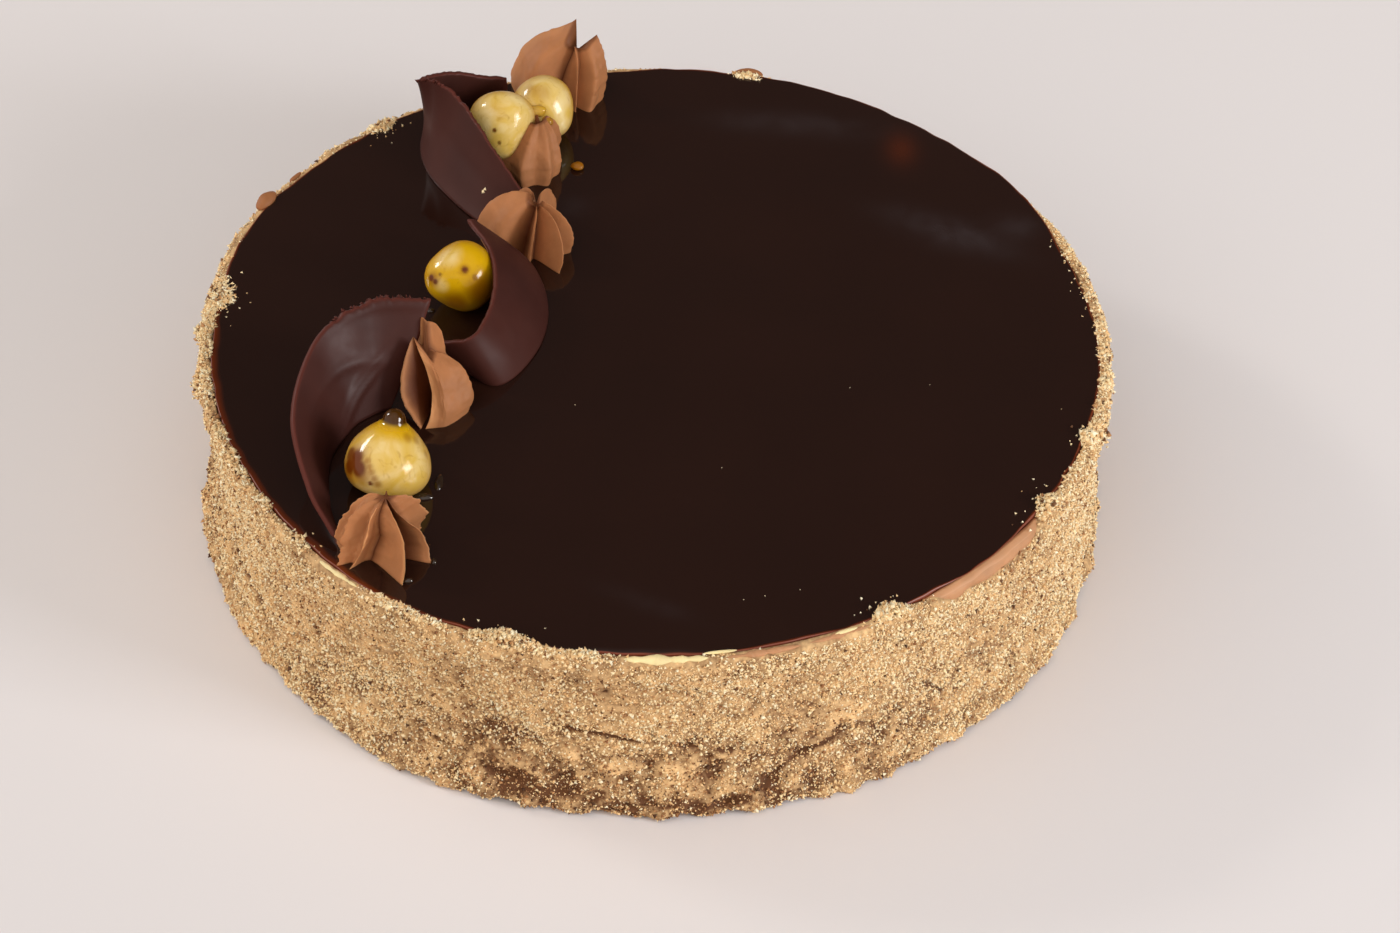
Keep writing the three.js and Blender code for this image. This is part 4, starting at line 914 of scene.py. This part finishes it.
def spots(away, places, core):
    """Strength of round marks on a nut, each at a turn and lift seen from its middle, full inside core of its width."""
    strength = np.zeros(len(away))
    for turn, lift, wide, full in places:
        turn, lift = np.radians(turn), np.radians(lift)
        toward = spun(np.cos(lift), turn, np.sin(lift))
        off = np.degrees(np.arccos(np.clip(away @ toward, -1, 1)))
        strength = np.maximum(strength, full * (1 - step(off, core * wide, 1.15 * wide)))
    return strength


caramel_nut, tree, shader = new_finish("caramel hazelnut")
flow = spread(tree, noise(tree, 130.0, 3.0, 1.2), 0.35, 0.62)
kernel = blend(tree, flow, linear(230, 205, 146), linear(213, 176, 86))
gold = blend(tree, mark(tree, "caramel"), kernel, linear(206, 158, 4))
streak = spread(tree, noise(tree, 320.0, 4.0, 2.0), 0.58, 0.76, 0.0, 0.45)
veined = blend(tree, streak, gold, linear(168, 116, 14))
# Painted shade: the caramel deepens to orange towards the nut's outline, where its faces turn from view.
facing = add(tree, "ShaderNodeLayerWeight", {"Blend": 0.5}).outputs["Facing"]
rounded = blend(tree, spread(tree, facing, 0.35, 0.95, 0.0, 0.75), veined, linear(174, 116, 8))
ambered_and_shaded = blend(tree, mark(tree, "amber_and_shade"), rounded, linear(138, 80, 0))
feed(tree, shader, {
    "Base Color": blend(tree, mark(tree, "roast"), ambered_and_shaded, linear(100, 44, 0)),
    "Roughness": 0.4, "Specular IOR Level": 0.05, "Coat Weight": 0.27, "Coat Roughness": 0.03, "Coat IOR": 1.5,
    "Subsurface Weight": 0.1, "Subsurface Radius": (0.002, 0.0014, 0.0005), "Subsurface Scale": 1.0,
})

for number, (node, shape) in enumerate(NUTS.items()):
    skin, ways = turned_drop(**shape, seed=80 + 3 * number)
    away = skin[0] - (*shape["at"], GLAZE_TOP + shape["lift"])
    away /= np.linalg.norm(away, axis=1)[:, None]
    thick, tip = CARAMEL[node]
    tip = tip * (1 - step(ways.max() - ways, 0.4, 4.0))
    marks = {
        "roast": spots(away, ROAST_MARKS[node], 0.55),
        "amber_and_shade": spots(away, AMBER_AND_SHADE_ZONES[node], 0.2),
        "caramel": np.maximum(thick * (1 - spots(away, PALE_ZONES[node], 0.3)), tip),
    }
    piece("hazel" + node, skin, caramel_nut, marks, node)

clear_caramel, tree, shader = new_finish("clear caramel")
pale = blend(tree, noise(tree, 300.0), linear(222, 174, 20), linear(206, 152, 6))
feed(tree, shader, {
    "Base Color": blend(tree, mark(tree, "deep"), pale, linear(74, 42, 2)),
    "Roughness": 0.02, "IOR": 1.48, "Specular IOR Level": 0.2, "Transmission Weight": 0.2,
})
skin, ways = turned_drop(**dict(NUTS["nut_4"], line=BEAD_LINE), seed=94)
piece("caramel_bead", skin, clear_caramel, {"deep": step(ways, 9.9, 11.2)})

# Caramel crumbs: bits of set caramel that broke off while the nuts were dipped, one on the glaze and two that stick
# the pair of nuts together. Each has its place over the glaze, its half sizes and its share of amber.
CARAMEL_BITS = [
    ((-18.8, 61.1, 0.7), (1.5, 1.2, 1.0), 0.95), ((-25.9, 65.3, 10.6), (1.4, 1.2, 1.2), 0.75),
    ((-28.4, 67.9, 11.6), (2.4, 1.6, 1.3), 0.3),
]
skins = [lump((x, y, GLAZE_TOP + z), half, 96 + n) for n, ((x, y, z), half, _) in enumerate(CARAMEL_BITS)]
amber_and_shade = np.repeat([bit[2] for bit in CARAMEL_BITS], [len(skin[0]) for skin in skins])
marks = {"roast": 0 * amber_and_shade, "amber_and_shade": amber_and_shade, "caramel": np.full(len(amber_and_shade), 0.7)}
piece("caramel_crumbs", joined(skins), caramel_nut, marks)

# Chocolate curls: dark chocolate spread thin, cut into strips and bent before it set. Three stand on the glaze
# between the stars, with satin faces, soft folds and reddish edges, ragged where the strip was broken off.
# Each fold: way along and across the sheet, slant, width, depth.
CURLS = {
    "curl_1": dict(
        foot=[(-33, 37, 0), (-41, 41, 0), (-51, 54, 0), (-55, 64, 0), (-55, 73, 0), (-48.5, 81, 0), (-37, 86, 0)],
        crest=[
            (-29, 39, 7), (-38.5, 51, 15), (-46, 62, 19), (-52, 66, 21), (-56, 69, 19), (-49.5, 77.5, 15),
            (-36.5, 85, 8),
        ],
        ragged=(0.4, 0.0), folds=[(0.3, 0.5, 0.1, 0.12, 0.2)],
    ),
    "curl_2": dict(
        foot=[(-42, -10.5, 0), (-33, -16.5, 0), (-25.5, -4.5, 0), (-24, 11, 0), (-29, 23, 3), (-42, 28, 9)],
        crest=[(-47, -12, 8), (-39.5, -13.5, 11), (-36, -6, 12), (-35, 4, 13), (-37, 15, 13), (-42.5, 28, 10.5)],
        ragged=(0.12, 0.0), folds=[],
    ),
    "curl_3": dict(
        foot=[(-64.5, -69, 0), (-67.5, -57, 0), (-68.5, -43, 0), (-65, -32.5, 0), (-60.5, -27.5, 0), (-56.5, -25, 0)],
        crest=[(-65, -69, 2), (-71.5, -59, 8), (-75.5, -44, 15), (-71.5, -25, 20), (-61, -15, 22), (-48, -11.5, 20)],
        ragged=(0.6, 0.66), folds=[
            (0.68, 0.56, -0.6, 0.06, 0.5), (0.7, 0.25, 1.2, 0.06, 0.5), (0.74, 0.4, 1.2, 0.05, 0.4),
            (0.84, 0.95, 0, 0.05, 0.5),
        ],
    ),
}
CURL_LENGTHWISE, CURL_ACROSS = 190, 34
CURL_HALF_THICKNESS, CREST_THINNER = 0.62, 0.16


def chocolate_curl(foot, crest, ragged, folds, seed):
    """Bent sheet: straight lines from the foot curve to the crest curve, bowed by 1 mm, thinner towards the crest. The
    crest's edge is ragged from a part of its length on; folds are low ridges that slant across the sheet. Gives the
    skin, whose rings run round the sheet's section, how near each point is to an edge, and the crest's line."""
    t = np.linspace(0, 1, CURL_LENGTHWISE)
    low, high = through(foot, t), through(crest, t)
    face = np.cross(np.gradient(low, axis=0), high - low)
    face /= np.linalg.norm(face, axis=1)[:, None]
    w = np.linspace(0, 1, CURL_ACROSS)
    w = np.concatenate([w, w[::-1]])
    side = np.repeat([-1.0, 1.0], CURL_ACROSS)
    u, v = np.meshgrid(t, w, indexing="ij")
    amount, begins = ragged
    torn = 0.6 * lattice(u, 0 * v, 40, 1, seed) + 0.5 * lattice(u, 0 * v, 110, 1, seed + 1)
    torn = amount * torn * (0.12 + 0.88 * step(u, begins - 0.05, begins + 0.01))
    span = np.linalg.norm(high - low, axis=1)[:, None]
    reach = v * (1 + torn / np.maximum(span, 4) * step(v, 0.93, 1.0))
    ridge = np.zeros_like(u)
    for middle, across, slant, wide, deep in folds:
        off = (v - across - slant * (u - middle)) / wide
        ridge = ridge + deep * np.exp(-off * off) * np.exp(-(((u - middle) / 0.16) ** 2))
    thick = (CURL_HALF_THICKNESS - CREST_THINNER * v) * np.clip(np.minimum(t, 1 - t)[:, None] / 0.012, 0.25, 1)
    push = 4 * v * (1 - v) + ridge + 0.08 * lattice(u, v, 14, 3, seed + 2) + side * thick
    points = low[:, None] + (high - low)[:, None] * reach[..., None] + face[:, None] * push[..., None]
    points[..., 2] = np.maximum(points[..., 2] + GLAZE_TOP, GLAZE_TOP - SUNK)
    edge = np.maximum(np.exp(-(1 - v) * span / 0.28), np.exp(-np.minimum(u, 1 - u) * 60 / 0.5))
    skin = closed_skin(points.transpose(1, 0, 2), [points[0].mean(0)], [points[-1].mean(0)])
    return skin, np.append(edge.T.ravel(), (1, 1)), points[:, CURL_ACROSS - 1]


dark_chocolate, tree, shader = new_finish("dark chocolate")
body = blend(tree, spread(tree, noise(tree, 60.0, 4.0), 0.3, 0.7), linear(58, 28, 22), linear(70, 36, 29))
smear = noise(tree, 220.0, 4.0)
bump = add(tree, "ShaderNodeBump", {"Strength": 0.08, "Distance": 0.0004, "Height": smear})
feed(tree, shader, {
    "Base Color": blend(tree, mark(tree, "edge"), body, linear(88, 42, 33)), "Normal": bump.outputs[0],
    "Roughness": spread(tree, smear, 0.3, 0.7, 0.42, 0.54), "Specular IOR Level": 0.08,
})

crest_lines = {}
for number, (node, shape) in enumerate(CURLS.items()):
    skin, edge, crest_lines[node] = chocolate_curl(**shape, seed=120 + 4 * number)
    piece("chocolate_" + node, skin, dark_chocolate, {"edge": edge}, node)

# Chips on the curls: thin flakes that broke from the edge when the strips were cut and still cling to it. Each batch
# lies on a stretch of one curl's crest.
CHIPS = [("curl_1", 0.45, 0.62, 14), ("curl_3", 0.66, 1.0, 30)]
draw = np.random.default_rng(140)
chip_places, chip_size = [], []
for node, start, end, count in CHIPS:
    line = crest_lines[node]
    picked = (draw.uniform(start, end, count) * (len(line) - 1)).astype(int)
    chip_places.append(line[picked] + draw.normal(0, 0.18, (count, 3)))
    chip_size.append(draw.uniform(0.25, 0.7, count))
skin = grains(np.vstack(chip_places), np.concatenate(chip_size), 141)
piece("chocolate_chips", skin, dark_chocolate, {"edge": np.full(len(skin[0]), 0.8)})

# Syrup: drops of thin caramel that ran from the nuts and stars and stand on the glaze as small glossy domes. Each has
# its place and its half sizes.
DROPS = [
    (-48.7, -53.5, 3.2, 1.3, 0.8), (-46.6, -30.6, 0.9, 0.8, 0.6), (-43.9, -73.5, 0.7, 0.8, 0.6),
    (-49.0, -79.3, 1.2, 0.7, 0.6), (-44.4, -49.0, 1.0, 2.6, 0.5), (-49.9, 8.2, 1.0, 0.8, 0.6),
    (-30.6, 18.3, 0.7, 0.7, 0.5),
]
syrup, tree, shader = new_finish("thin caramel")
feed(tree, shader, {
    "Base Color": blend(tree, noise(tree, 400.0), linear(34, 22, 14), linear(58, 38, 20)), "Roughness": 0.04,
})
skins = [lump((x, y, GLAZE_TOP), half, 150 + number) for number, (x, y, *half) in enumerate(DROPS)]
piece("syrup_drops", joined(skins), syrup)
